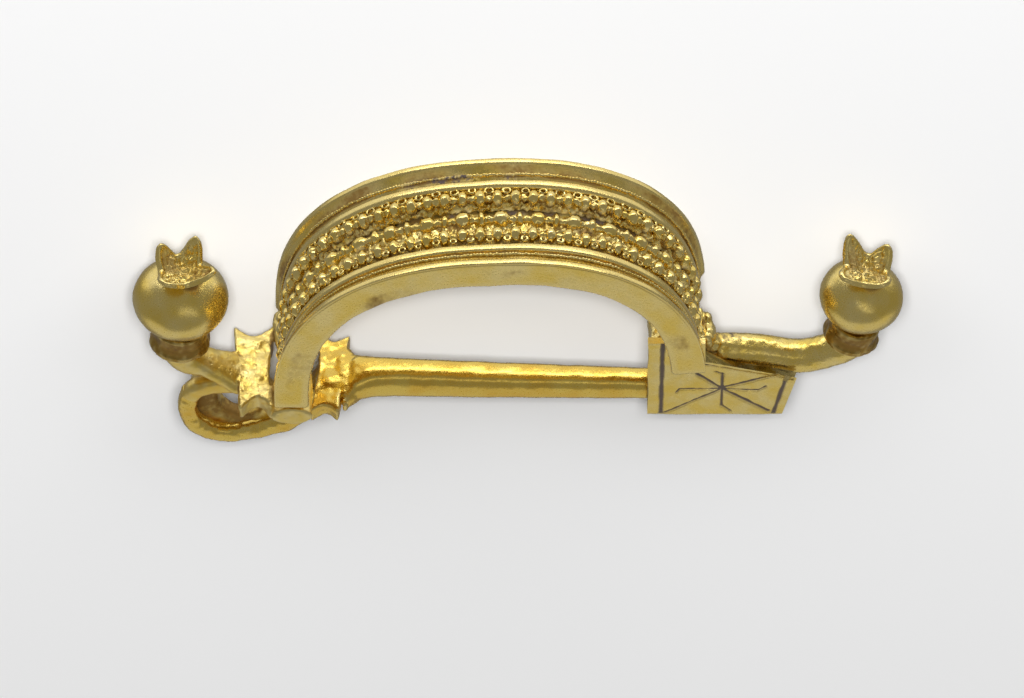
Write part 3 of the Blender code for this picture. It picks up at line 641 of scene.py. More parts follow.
class Arch:
    """The bow's line, read by the distance along it and the depth below its rims."""

    def __init__(self, sizes):
        half_span, rise = mm(sizes.span) / 2, mm(sizes.rise)
        springing, power = mm(sizes.springing), 2 / sizes.squareness

        samples = 6001
        turns = np.linspace(1.45 * math.pi, -0.45 * math.pi, samples)
        reach = half_span * powered(np.cos(turns), power)
        height = springing + rise * powered(np.sin(turns), power) + sizes.lean * reach
        points = np.stack([mm(sizes.centre) + reach, height], axis=-1)
        top = int(np.argmax(points[:, 1]))
        left = int(np.argmax(points[:top, 1] > mm(sizes.left_end)))
        right = top + int(np.argmax(points[top:, 1] < mm(sizes.right_end)))
        self.points = points[left:right]
        tangents = np.gradient(self.points, axis=0)
        tangents /= np.linalg.norm(tangents, axis=1)[:, None]
        self.normals = np.stack([-tangents[:, 1], tangents[:, 0]], axis=1)
        steps = np.linalg.norm(np.diff(self.points, axis=0), axis=1)
        self.runs = np.concatenate([[0], np.cumsum(steps)])
        self.length = float(self.runs[-1])

    def at(self, distance, y, depth):
        """Points at a distance along the arch, y across it and a depth below its rims."""
        distance, y, depth = np.broadcast_arrays(distance, y, depth)
        x, z = (np.interp(distance, self.runs, self.points[:, k]) for k in (0, 1))
        out_x, out_z = (np.interp(distance, self.runs, self.normals[:, k]) for k in (0, 1))
        size = np.hypot(out_x, out_z)
        return np.stack([x - out_x / size * depth, y, z - out_z / size * depth], axis=-1)


def band_outline(sizes, spacing):
    """The band's section as (distance from the middle, depth), rims, slopes and channel."""
    edge, thick = mm(sizes.width) / 2, mm(sizes.thickness)
    wall, floor = mm(sizes.channel_half), mm(sizes.channel_depth) + 0.05
    seam, land, ridge = 0.16, 0.38, 0.72
    half = [
        ((edge, thick), 0.3),
        ((edge, seam + 0.06), 0.03),
        ((edge - 0.03, seam), 0.02),
        ((edge, seam - 0.05), 0.02),
        ((edge, 0.0), 0.1),
        ((edge - land, 0.0), 0.12),
        ((edge - land - 0.25, 0.22), 0.2),
        ((wall + ridge + 0.05, 0.62), 0.03),
        ((wall + ridge - 0.02, 0.34), 0.3),
        ((wall + 0.03, 0.34), 0.3),
        ((wall - 0.02, floor), 0.1),
    ]
    corners = [(-y, depth) for (y, depth), _ in half]
    corners += [corner for corner, _ in reversed(half)]
    corners += [(edge / 2, thick - 0.3), (-edge / 2, thick - 0.3)]
    radii = [radius for _, radius in half]
    radii += list(reversed(radii)) + [1.0, 1.0]
    return rounded(corners, radii, spacing)


def bow_stain(points):
    """Tarnish left on the far slope, and dark patches in the groove behind the middle wire."""
    x, y = points[:, 0], points[:, 1]
    streak = window(y, 3.06, 3.14, 3.5, 3.8) * window(x, -6.2, -4.6, -1.0, -0.3)
    spot = window(y, 3.1, 3.2, 3.4, 3.6) * near(x, 1.45, 0.3, 0.5)
    slope = np.maximum(streak * ramp(lumps(points * (0.35, 1, 0.35), 1.0, 47), -1.3, -0.4), spot)
    groove = window(y, 0.36, 0.56, 0.95, 1.2)
    patches = ramp(lumps(points, 3.2, 41), -0.9, 0.5)
    front = 0.6 * window(y, -1.15, -0.95, -0.75, -0.6) * ramp(lumps(points, 4.0, 43), 0.3, 0.9)
    return np.maximum(np.maximum(slope, 0.95 * groove * patches), front)


def make_band(sizes, arch):
    """The band swept along the arch, with its rims a little uneven."""
    outline = band_outline(sizes, 0.13)
    count, rounding = 320, 0.25
    run = np.linspace(0, arch.length, count + 1)
    from_end = np.minimum(run, arch.length - run)
    inset = 0.22 * (1 - np.sqrt(np.clip(1 - (1 - from_end / rounding) ** 2, 0, 1)))
    inset[from_end > rounding] = 0
    middle = np.array([0.0, mm(sizes.thickness) * 0.6])
    reach = np.abs(outline - middle).max(axis=0)
    shrink = 1 - inset[:, None, None] / reach
    section = middle + (outline - middle)[None] * shrink
    rings = arch.at(run[:, None], section[..., 0], section[..., 1])
    mesh = plain_mesh("band", *skinned(rings))
    flat = coordinates(mesh)
    depth = np.tile(outline[:, 1], count + 1)
    across = np.abs(np.tile(outline[:, 0], count + 1))
    channel = ramp(-across, -2.6, -2.2)
    sides = ramp(across, 4.3, 4.6) * ramp(depth, 0.4, 0.9)
    top_side = ramp(-depth, -0.9, -0.7)
    # Darker in the channel and at the fine wires' feet: dirt with painted shade; brown clouds on the sides
    # and dirt on the far slope.
    soil_and_shade = (0.85 * channel * window(depth, 0.5, 0.8, 1.5, 1.8)
            + 0.35 * near(across, 3.45, 0.1, 0.2) * top_side
            + 0.45 * sides * ramp(lumps(flat, 5.0, 9), -0.1, 1.1)
            + 0.55 * window(flat[:, 1], 3.2, 3.4, 4.05, 4.25) * top_side)
    paint_gold(mesh, 24, soil_and_shade, bow_stain(flat) * ramp(-depth, -1.6, -1.3))
    roughen(mesh, [(3.2, 0.022, 1), (1.1, 0.005, 2), (0.45, 0.0015, 3)], 0.5 + 0.5 * sides + 0.8 * channel)
    return mesh


def beaded(arch, y, depth, pitch, profile, sides, per_bead, uneven, seed, wide=1.0):
    """Rings of a beaded wire along the arch; profile gives its radius over one pitch."""
    usable = arch.length - 2 * WIRE_MARGIN
    count = int(usable / pitch)
    draw = np.random.default_rng(seed)
    sizes = 1 + uneven * draw.uniform(-1, 1, count + 1)
    slips = uneven * pitch * 0.6 * draw.uniform(-1, 1, count + 1)
    sways = uneven * 0.5 * draw.uniform(-1, 1, count + 1)
    place = np.linspace(0, count, count * per_bead + 1)
    bead = np.minimum(place.astype(int), count)
    radius = profile(place % 1.0) * sizes[bead]
    settle = np.sin(math.pi * (place % 1.0))
    run = WIRE_MARGIN + place * usable / count + slips[bead] * settle
    turns = full_turn(sides)
    across = y + sways[bead][:, None] * settle[:, None] + radius[:, None] * wide * np.cos(turns)
    sunk = depth - radius[:, None] * np.sin(turns)
    return arch.at(run[:, None], across, sunk)


def bead_radius(sizes, waist, start, end):
    """A round bead from start to end of each pitch, and a low ribbed neck between beads."""
    radius = mm(sizes.bead) / 2

    def profile(t):
        inside = np.clip((t - start) / (end - start), 0, 1)
        ball = np.sqrt(np.clip(1 - (2 * inside - 1) ** 2, 0, 1)) * radius
        outside = np.where(t < start, t + 1 - end, t - end) / (1 - end + start)
        rib = radius * (waist + 0.12 * np.sin(math.pi * np.clip(outside, 0, 1)))
        return np.maximum(ball, rib)

    return profile


def reel_radius(sizes):
    """A long bead, a groove, a narrow round one and a groove in each pitch."""
    radius = mm(sizes.bead) / 2

    def lobe(t, start, end, height, power):
        inside = np.clip((t - start) / (end - start), 0, 1)
        return radius * height * np.clip(1 - np.abs(2 * inside - 1) ** power, 0, 1) ** 0.5

    def profile(t):
        long_bead = lobe(t, 0.05, 0.5, 1.0, 2.6)
        reel = lobe(t, 0.66, 0.88, 0.94, 2.2)
        return np.maximum(np.maximum(long_bead, reel), radius * 0.5)

    return profile


def fine_radius(sizes):
    """The tiny beads of the wire on each slope."""
    radius = mm(sizes.fine_bead) / 2

    def profile(t):
        return radius * (0.72 + 0.28 * np.sin(math.pi * t))

    return profile


def granule_shells(sizes, arch, side):
    """Small rings that lie between the beads along the outer side of a wire."""
    pitch, spacing = mm(sizes.bead_pitch), mm(sizes.row_spacing)
    usable = arch.length - 2 * WIRE_MARGIN
    count = int(usable / pitch)
    draw = np.random.default_rng(70 + int(side))
    around, tube = 20, 8
    turns, rolls = full_turn(around), full_turn(tube)
    shells = []
    for k in range(count + 1):
        size = (0.25 if side > 0 else 0.19) * (1 + 0.14 * draw.uniform(-1, 1))
        wire = 0.1 * (1 + 0.2 * draw.uniform(-1, 1))
        run = WIRE_MARGIN + (k + 0.02) * usable / count + 0.05 * draw.uniform(-1, 1)
        across = side * (spacing + 0.5 + 0.04 * draw.uniform(-1, 1))
        reach = size + wire * np.cos(rolls)[None, :]
        rings = arch.at(run + reach * np.cos(turns)[:, None],
                        across + reach * np.sin(turns)[:, None] * 0.85,
                        0.4 - wire * np.sin(rolls)[None, :] + 0.05 * draw.uniform(-1, 1))
        closed = ring_faces(around + 1, tube, caps=False)
        faces = [[index % (around * tube) for index in face] for face in closed]
        shells.append((rings.reshape(-1, 3), faces))
    return shells


def depth_below(arch, points):
    """How far each point lies below the bow's rims."""
    nearest = np.full(len(points), 1e9)
    for x, z in arch.points[::40]:
        nearest = np.minimum(nearest, np.hypot(points[:, 0] - x, points[:, 2] - z))
    return nearest


def bed_mesh(sizes, arch, low, high, top, seed):
    """The rough metal that the beads and rings sit in, between two places across the band."""
    columns, rows, margin = 22, 620, 0.32
    across = np.linspace(low, high, columns)
    run = np.linspace(margin, arch.length - margin, rows)
    shape = 1 - np.abs(np.linspace(-1, 1, columns)) ** 4
    floor = mm(sizes.channel_depth) - 0.12
    surface = arch.at(run[:, None], across[None], floor + (top - floor) * shape[None])
    under = arch.at(run[:, None], across[None, ::-1], floor + 0.05)
    mesh = plain_mesh("bed", *skinned(np.concatenate([surface, under], axis=1)))
    roughen(mesh, [(0.5, 0.05, seed), (0.24, 0.03, seed + 1)])
    points = coordinates(mesh)
    paint_gold(mesh, 6, 0.45 * ramp(lumps(points, 1.1, seed + 2), -0.4, 1.0), 0.7 * bow_stain(points), 0.05)
    return mesh


def bead_row(sizes, arch, name, y, pitch, profile, seed):
    """One of the three beaded wires, rougher in its necks than on its beads."""
    middle = name == "middle"
    sunk = mm(sizes.row_depth) + (0.08 if middle else 0.0)
    rings = beaded(arch, y, sunk, mm(pitch), profile, 26, 44 if middle else 22, 0.06, seed, wide=1.14)
    mesh = plain_mesh(name, *skinned(rings))
    points = coordinates(mesh)
    axis_depth = depth_below(arch, points)
    height = np.clip((sunk + 0.1 - axis_depth) / 0.5, 0, 1)
    neck = ramp(-height, -0.95, -0.7)
    roughen(mesh, [(0.45, 0.022, seed + 20), (0.2, 0.016, seed + 30)], 0.12 + 0.88 * neck)
    # Darker where the wire lies deeper, more so towards the back: painted shade with dirt.
    soil_and_shade = ramp(axis_depth, 0.4, 0.85) * (0.6 + 0.4 * ramp(points[:, 1], 0.2, 0.5))
    paint_gold(mesh, 8, soil_and_shade, bow_stain(points), 0.03, worn=0.3)
    return mesh


def granule_mesh(sizes, arch):
    """All the small rings on the outer sides of the two outer wires."""
    shells = granule_shells(sizes, arch, 1) + granule_shells(sizes, arch, -1)
    mesh = plain_mesh("granules", *gathered(shells))
    roughen(mesh, [(0.5, 0.015, 51)])
    # Darker where the rings lie deeper: painted shade with dirt.
    paint_gold(mesh, 3, 0.6 * ramp(depth_below(arch, coordinates(mesh)), 0.4, 0.7), depth=0.03)
    return mesh


def fine_wire(sizes, arch, name, side):
    """The fine beaded wire on one slope, worn flat in places."""
    y = side * (mm(sizes.width) / 2 - mm(sizes.fine_inset))
    rings = beaded(arch, y, 0.36, mm(sizes.fine_pitch), fine_radius(sizes), 10, 6, 0.12, 60 + side)
    mesh = plain_mesh(name, *skinned(rings))
    points = coordinates(mesh)
    worn = ramp(lumps(points, 5.0, 61 + side), -0.2, 0.8)
    set_coordinates(mesh, points - normals(mesh) * 0.035 * worn[:, None])
    # Darker where the wire lies deeper: painted shade with dirt.
    paint_gold(mesh, 3, 0.5 * ramp(depth_below(arch, points), 0.33, 0.46), bow_stain(points), 0.02)
    return mesh


class FIBULA_OT_bow(bpy.types.Operator):
    """Make the bow's band"""

    bl_idname = "fibula.bow"
    bl_label = "Bow"

    def execute(self, context):
        sizes, finish = context.scene.fibula_bow, context.scene.fibula_finish
        material = gold_finish("band_gold", (finish.gold, finish.pale), 0.27, 0.006, 0.005, 2.2)
        show("bow_band", make_band(sizes, Arch(sizes)), material, "brooch", ("bow",), 60)
        return {"FINISHED"}


class FIBULA_OT_wires(bpy.types.Operator):
    """Make the beaded wires, the fine wires and the small rings beside them"""

    bl_idname = "fibula.wires"
    bl_label = "Beaded wires"

    def execute(self, context):
        sizes, finish = context.scene.fibula_bow, context.scene.fibula_finish
        arch, spacing = Arch(sizes), mm(sizes.row_spacing)
        bead_gold = gold_finish("bead_gold", (finish.gold, finish.pale), 0.15, 0.003, 0.004, 1.0)
        round_beads = bead_radius(sizes, 0.4, 0.15, 0.85)
        rows = {
            "front": (-spacing, sizes.bead_pitch, round_beads, 11),
            "middle": (MIDDLE_ROW_Y, sizes.reel_pitch, reel_radius(sizes), 12),
            "back": (spacing, sizes.bead_pitch, round_beads, 13),
        }
        for name, row in rows.items():
            node = f"beaded_wire_{name}"
            show(f"beads_{name}", bead_row(sizes, arch, name, *row), bead_gold, "brooch", (node,), 80)
        show("granule_rings", granule_mesh(sizes, arch), bead_gold, "brooch")
        rough_gold = gold_finish("rough_gold", (finish.pale, finish.gold), 0.26, 0.004, 0.02, 0.8)
        show("bed_back", bed_mesh(sizes, arch, 1.0, 2.34, 0.74, 61), rough_gold, "brooch")
        show("bed_front", bed_mesh(sizes, arch, -2.34, 0.5, 0.7, 64), rough_gold, "brooch")
        wire_gold = gold_finish("fine_wire_gold", (finish.gold, finish.pale), 0.22, 0.003, 0.003, 1.2)
        for name, side in (("front", -1), ("back", 1)):
            show(f"fine_wire_{name}", fine_wire(sizes, arch, name, side), wire_gold, "brooch")
        return {"FINISHED"}


# Head, spring and pin

class Places:
    """Places around the bow's ends, upright, in millimetres."""

    def __init__(self, scene):
        bow, head, foot = scene.fibula_bow, scene.fibula_head, scene.fibula_foot
        arch = Arch(bow)
        thick = mm(bow.thickness)
        ends = arch.at(np.array([0, 0, arch.length, arch.length]), 0.0, np.array([0, thick, 0, thick]))
        self.bar_x = (ends[0, 0] + ends[1, 0]) / 2
        self.bar_z = min(ends[0, 2], ends[1, 2]) - SOLDER_GAP - mm(head.bar_height) / 2
        self.head_star = self.bar_x - mm(head.bar_width) / 2 + STAR_BAR_OVERLAP - mm(head.head_star_width) / 2
        self.pin_star = self.bar_x + mm(head.bar_width) / 2 + SWING_GAP + mm(head.pin_star_width) / 2
        self.arm_seat = (self.head_star - mm(head.arm_reach), 0, mm(head.arm_end) - SOLDER_GAP)
        self.block_left = ends[3, 0] - BLOCK_REACH
        self.block_right = ends[2, 0]
        self.block_top = min(ends[2, 2], ends[3, 2]) - SOLDER_GAP
        self.rod_seat = (self.block_right + mm(foot.rod_reach), 0, mm(foot.rod_height) + ROD_RISE)
        self.pin_tip = self.block_left + mm(foot.catch_bottom) - PIN_TIP_INSET


def star_shell(centre, top, length, width, thickness, notches, tip_drop, skew):
    """A thick four-tipped plate whose sides are hollow and whose tips droop a little.

    Each of its four sides has its own notch, and each corner may be shifted by its skew.
    """
    half_x, half_y = width / 2, length / 2
    corners = [(half_x + skew[0], -half_y), (half_x + skew[1], half_y),
               (-half_x + skew[2], half_y), (-half_x + skew[3], -half_y)]
    outline = []
    for k, start in enumerate(corners):
        end = corners[(k + 1) % 4]
        inward = np.array([start[1] - end[1], end[0] - start[0]])
        inward = inward / np.linalg.norm(inward)
        for t in np.linspace(0.05, 0.95, 14):
            point = np.array(start) + (np.array(end) - np.array(start)) * t
            outline.append(point + inward * notches[k] * (1 - abs(2 * t - 1) ** 1.5))
    outline = np.array(outline)
    droop = tip_drop * np.abs(outline[:, 1] / half_y) ** 2
    layers = []
    for height, spread in ((-thickness, 0.86), (-0.8 * thickness, 0.95), (-0.12, 1.0), (0.0, 0.95)):
        layers.append(np.column_stack([centre + outline[:, 0] * spread, outline[:, 1] * spread,
                                       top + height - droop]))
    return skinned(np.array(layers))


def bar_shell(places, head, reach):
    """The oval bar across the head, narrower where it shows beside the plate."""
    rings = []
    sides = 28
    turns = full_turn(sides)
    for y in np.linspace(-reach, reach, 60):
        waist = 1 - 0.3 * math.exp(-((y - 0.6) / 1.1) ** 2)
        rings.append(np.column_stack([
            places.bar_x + mm(head.bar_width) / 2 * waist * np.cos(turns),
            np.full(sides, y),
            places.bar_z + mm(head.bar_height) / 2 * np.sin(turns)]))
    return skinned(np.array(rings))


def flattened(rings, seat, lean):
    """Press what rises above a leaning seat down to it, as under a collar."""
    axis = np.array([math.sin(lean), 0.0, math.cos(lean)])
    excess = (rings - np.array(seat)) @ axis
    excess[:-1] = np.maximum(excess[:-1], 0)
    return rings - axis * excess[..., None]


def arm_shell(places, head, lean):
    """The arm that swings up from the head plate to its collar."""
    x, (end, _, seat) = places.head_star, places.arm_seat
    root = mm(head.head_star_top) - 0.82
    rise = seat - root
    stops = [
        (x + 0.1, 0, root, 1.5, 0.7),
        (x - 1.15, 0, root + 0.03 * rise, 1.72, 0.72),
        (x - 2.1, 0, root + 0.2 * rise, 1.36, 0.68),
        (x - 3.25, 0, root + 0.4 * rise, 1.12, 0.7),
        (end + 0.3, 0, seat - 1.1, 1.1, 1.1),
        (end, 0, seat, 1.12, 1.12),
    ]
    rings = swept(smooth_path(stops, 0.25), 32, 2.6)
    return skinned(flattened(rings, places.arm_seat, lean))


def coil_path(head, start, end, spacing=4.0):
    """The spring's wire from one angle to another, in degrees, counted from its back turn."""
    radius, half = mm(head.spring_radius), mm(head.wire) / 2
    front, pitch = SPRING_CENTRE[1], mm(head.coil_pitch)
    turns = np.linspace(start, end, int(abs(end - start) / spacing) + 1)
    advance = ramp(turns, 170, 515)
    y = front + pitch * (1 - advance) * 1.12
    centre = SPRING_CENTRE[0] + mm(head.back_shift) * (1 - advance)
    t = np.radians(turns)
    radius = radius * (1 - 0.17 * (1 - advance) ** 2)
    half = half * (1 + 0.5 * (1 - advance) ** 2)
    pressed = 0.62 * np.maximum(np.sin(t), 0) ** 4
    return np.column_stack([centre + radius * np.cos(t), y, SPRING_CENTRE[2] + radius * np.sin(t) - pressed,
                            half * np.ones(len(t)), half * 1.12 * np.ones(len(t))])


def pin_path(places, head):
    """Front turn, the strip that rises from it, and the pin to its tip."""
    arc = coil_path(head, PIN_TURN_START, PIN_TURN_END)
    root, mouth, strip = mm(head.pin_root) / 2, mm(head.pin_mouth) / 2, mm(head.wire) / 2
    side = SPRING_CENTRE[1]
    star = places.pin_star + mm(head.pin_star_width) / 2
    run = places.block_left - star
    low = SPRING_CENTRE[2] - 0.5 * mm(head.spring_radius)
    stops = [
        tuple(arc[-1]),
        (places.bar_x - 0.3, side, low, strip, 1.35 * strip),
        (places.bar_x + 1.8, side / 2, 0.0, 0.85 * root, 0.8 * root),
        (star - 0.7, 0, 0.42, 2.6, 0.68 * root),
        (star + 0.1, 0, 0.45, 2.15, 0.72 * root),
        (star + 0.8, 0, 0.55, root * 1.2, root * 0.92),
        (star + 0.15 * run, 0, 0.57, root * 0.95, root * 0.97),
        (star + 0.5 * run, 0, 0.3, (root + mouth) / 2, (root + mouth) / 2),
        (places.block_left, 0, 0.0, mouth, mouth),
        ((places.block_left + places.pin_tip) / 2, 0, 0, 0.6, 0.6),
        (places.pin_tip - 0.3, 0, 0, 0.26, 0.26),
        (places.pin_tip, 0, 0, 0.12, 0.12),
    ]
    return np.vstack([arc[:-1], smooth_path(stops, 0.2)])


class FIBULA_OT_head(bpy.types.Operator):
    """Make the head: arm, four-tipped plate and bar"""

    bl_idname = "fibula.head"
    bl_label = "Head"

    def execute(self, context):
        scene = context.scene
        head, finish, places = scene.fibula_head, scene.fibula_finish, Places(scene)
        star = star_shell(places.head_star, mm(head.head_star_top), mm(head.star_length),
                          mm(head.head_star_width),
                          mm(head.star_thickness), notches=(0.35, 1.0, 0.12, 1.2), tip_drop=0.12,
                          skew=(0, 0, -0.3, 0.15))
        reach = mm(scene.fibula_bow.width) / 2 - 0.1
        arm = arm_shell(places, head, scene.fibula_finials.left_lean)
        shells = [star, bar_shell(places, head, reach), arm]
        mesh = cast_together("head", shells)
        points = coordinates(mesh)
        plate = near(points[:, 0], places.head_star, 1.1, 1.5)
        roughen(mesh, [(1.7, 0.03, 21), (0.6, 0.009, 22), (0.22, 0.004, 23)], 0.5 + 0.7 * plate)
        under = 0.5 * ramp(-points[:, 2], -0.9, 0.4)
        # A dark line in the gap between the head plate and the bar: painted shade.
        gap = near(points[:, 0], places.bar_x - 1.35, 0.1, 0.35)
        gap_shade = 0.85 * gap * near(points[:, 1], 0, 2.8, 3.4)
        paint_gold(mesh, 30, np.maximum(under, gap_shade), depth=0.09)
        material = gold_finish("head_gold", (finish.gold, finish.pale), 0.36, 0.004, 0.03, 0.9)
        show("head_casting", mesh, material, "brooch", ("head",))
        return {"FINISHED"}


class FIBULA_OT_spring(bpy.types.Operator):
    """Make the spring's coil, which is tied to no body"""

    bl_idname = "fibula.spring"
    bl_label = "Spring"

    def execute(self, context):
        scene = context.scene
        head, finish = scene.fibula_head, scene.fibula_finish
        mesh = plain_mesh("coil", *skinned(swept(coil_path(head, COIL_START, COIL_END, 3.0), 28, 3.2)))
        roughen(mesh, [(1.5, 0.02, 25), (0.5, 0.01, 26)])
        # Darker towards the back turns, behind the front turn: painted shade.
        paint_gold(mesh, 6, 0.75 * ramp(coordinates(mesh)[:, 1], -1.0, -0.2), depth=0.05)
        material = gold_finish("coil_gold", (finish.deep, finish.gold), 0.34, 0.006, 0.006, 1.2)
        coil = show("spring_coil", mesh, material, None)
        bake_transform(coil)
        return {"FINISHED"}


class FIBULA_OT_pin(bpy.types.Operator):
    """Make the pin with the spring's front turn and its four-tipped plate"""

    bl_idname = "fibula.pin"
    bl_label = "Pin"

    def execute(self, context):
        scene = context.scene
        head, finish, places = scene.fibula_head, scene.fibula_finish, Places(scene)
        star = star_shell(places.pin_star, mm(head.pin_star_top), mm(head.star_length) - 0.5,
                          mm(head.pin_star_width), mm(head.star_thickness), notches=(0.2, 0.8, 0.3, 0.7),
                          tip_drop=0.15, skew=(-0.7, 0.1, 0, -0.55))
        rod = skinned(swept(pin_path(places, head), 36, 2.7))
        mesh = cast_together("pin", [rod, star])
        points = coordinates(mesh)
        rough = ramp(-points[:, 0], 7.0, 9.5)
        roughen(mesh, [(1.9, 0.03, 27), (0.6, 0.009, 28)], 0.3 + 0.7 * rough)
        # A darker line in the gap between the pin's plate and the bar: painted shade.
        root = 0.6 * near(points[:, 0], places.pin_star - 1.2, 0.1, 0.5)
        paint_gold(mesh, 30, root * near(points[:, 1], 0, 1.8, 2.6), depth=0.09)
        material = gold_finish("pin_gold", (finish.gold, finish.deep), 0.24, 0.005, 0.006, 1.6)
        show("pin_and_turn", mesh, material, "pin", ("pin",))
        return {"FINISHED"}


# The foot

# Lines cut into the catch plate's face, as (from, to, width) in millimetres
ENGRAVED_LINES = [
    ((11.3, 6.0), (11.2, -1.5), 0.4),
    ((19.5, 3.1), (18.45, -1.5), 0.38),
    ((13.8, 3.72), (19.75, 2.24), 0.15),
    ((13.55, 2.7), (15.16, 1.3), 0.3),
    ((15.16, 1.3), (18.2, -0.85), 0.32),
    ((11.45, -1.0), (15.0, 1.2), 0.22),
    ((15.3, 1.45), (18.9, 2.72), 0.26),
    ((12.4, 1.28), (15.1, 1.3), 0.2),
    ((15.2, 1.3), (17.5, 1.15), 0.2),
    ((15.2, 2.75), (15.16, 1.3), 0.3),
    ((15.16, 1.3), (15.15, -0.3), 0.26),
    ((15.2, 2.7), (14.75, 2.95), 0.16),
    ((12.4, 1.28), (12.2, 0.95), 0.18),
    ((15.15, -0.3), (15.75, -0.85), 0.2),
    ((17.5, 1.15), (18.0, 1.5), 0.2),
]


def engraved(x, z):
    """1 in the middle of an engraved line and 0 away from all of them."""
    found = np.zeros_like(x)
    wobble = 0.016 * np.sin(9 * x + 2 * z) + 0.014 * np.sin(7 * z - 3 * x)
    for (x0, z0), (x1, z1), width in ENGRAVED_LINES:
        along = np.array([x1 - x0, z1 - z0])
        t = np.clip(((x - x0) * along[0] + (z - z0) * along[1]) / (along @ along), 0, 1)
        gap = np.hypot(x - x0 - t * along[0], z - z0 - t * along[1])
        half = width / 2 * (1.12 + 0.13 * np.sin(3 * t * np.linalg.norm(along) + x0)) + wobble
        found = np.maximum(found, 1 - ramp(gap, 0.35 * half, np.maximum(half, 0.05)))
    return found


def plate_edges(places, foot, z):
    """Left and right edge of the catch plate at a height."""
    left = places.block_left + 0.04 * np.sin(1.7 * z)
    bottom, slant = places.block_left + mm(foot.catch_bottom), mm(foot.catch_slant)
    drop = mm(foot.catch_drop)
    heights = [-drop, 2.4, 3.85, 3.9, places.block_top]
    rights = [bottom, bottom + slant, places.block_right + 0.35, places.block_right, places.block_right]
    return left, np.interp(z, heights, rights)


def stepped(path, points, spacing):
    """A path carried on through more points, in steps of about a spacing."""
    path = list(path)
    for point in points:
        start = np.array(path[-1])
        reach = np.array(point) - start
        steps = max(int(np.linalg.norm(reach) / spacing), 1)
        path += [tuple(start + reach * k / steps) for k in range(1, steps + 1)]
    return path


def plate_mesh(places, foot):
    """The folded plate: engraved face, fold under the pin, short lip behind."""
    back = -(PIN_HALF_AT_CATCH + SWING_GAP)
    front = back - mm(foot.sheet)
    drop, top, fold = mm(foot.catch_drop), places.block_top, 0.33
    outer = [(front, top)]
    outer += [(front + fold - fold * math.cos(t), -drop + fold - fold * math.sin(t))
              for t in np.linspace(0, math.pi / 2, 10)]
    outer += [(back + 0.45, -drop)]
    inner = [(back + 0.45, -drop + 0.42), (back + 0.02, -drop + 0.44), (back, top)]
    fine, coarse = 0.045, 0.16
    section = np.array(stepped(stepped(outer[:1], outer[1:], fine), inner, coarse))
    left, right = plate_edges(places, foot, section[:, 1])
    rings = []
    for t in np.linspace(0, 1, 232):
        x = left + (right - left) * t
        rings.append(np.column_stack([x, section[:, 0], section[:, 1]]))
    return plain_mesh("plate", *skinned(np.array(rings)[:, ::-1]))


def make_plate(places, foot):
    """The plate with its lines cut in and filled."""
    mesh = plate_mesh(places, foot)
    roughen(mesh, [(3.0, 0.014, 31), (0.8, 0.002, 32)])
    points = coordinates(mesh)
    face = ramp(-normals(mesh)[:, 1], 0.6, 0.9) * ramp(-points[:, 1], 1.35, 1.5)
    cut = engraved(points[:, 0], points[:, 2]) * face
    points[:, 1] += cut * mm(foot.groove_depth)
    paint_gold(mesh, 20, 0.12 * face, depth=0.05)
    paint(mesh, "fill", cut)
    set_coordinates(mesh, points)
    return mesh


def rod_shell(places, foot, lean):
    """The rod from under the bow to its upturned end."""
    half, height, reach = mm(foot.rod) / 2, mm(foot.rod_height), mm(foot.rod_reach)
    seat = places.rod_seat
    stops = [
        (places.block_left + 0.3, 0, height, half, half),
        (places.block_right + 0.3 * reach, 0, height, half, half),
        (places.block_right + 0.64 * reach, 0, height - 0.55, half, half),
        (seat[0] - 0.14 * reach, 0, height, half, half),
        (seat[0] - 0.06, 0, seat[2] - 0.46, half, half),
        (seat[0], 0, seat[2], half, half),
    ]
    return skinned(flattened(swept(smooth_path(stops, 0.25), 32, 2.15), seat, lean))


def block_shell(places, foot):
    """The block under the bow's end, with the lump where the wires meet the rod."""
    low, top = mm(foot.rod_height) - 0.5, places.block_top
    left, right = places.block_left + 0.1, places.block_right - 0.1
    outline = rounded([(left, low), (right, low), (right, top), (left, top)], [0.2, 0.2, 0.3, 0.3], 0.3)
    rings = [np.column_stack([outline[:, 0], np.full(len(outline), y), outline[:, 1]]) for y in (1.5, -1.2)]
    return skinned(np.array(rings))


def blob_shell(centre, radii):
    """A small lump of solder."""
    sides = 20
    turns = full_turn(sides)
    rings = []
    for t in np.linspace(0.15, math.pi - 0.15, 12):
        rings.append(np.column_stack([
            centre[0] + radii[0] * math.sin(t) * np.cos(turns),
            centre[1] + radii[1] * math.sin(t) * np.sin(turns),
            np.full(sides, centre[2] - radii[2] * math.cos(t))]))
    return skinned(np.array(rings))


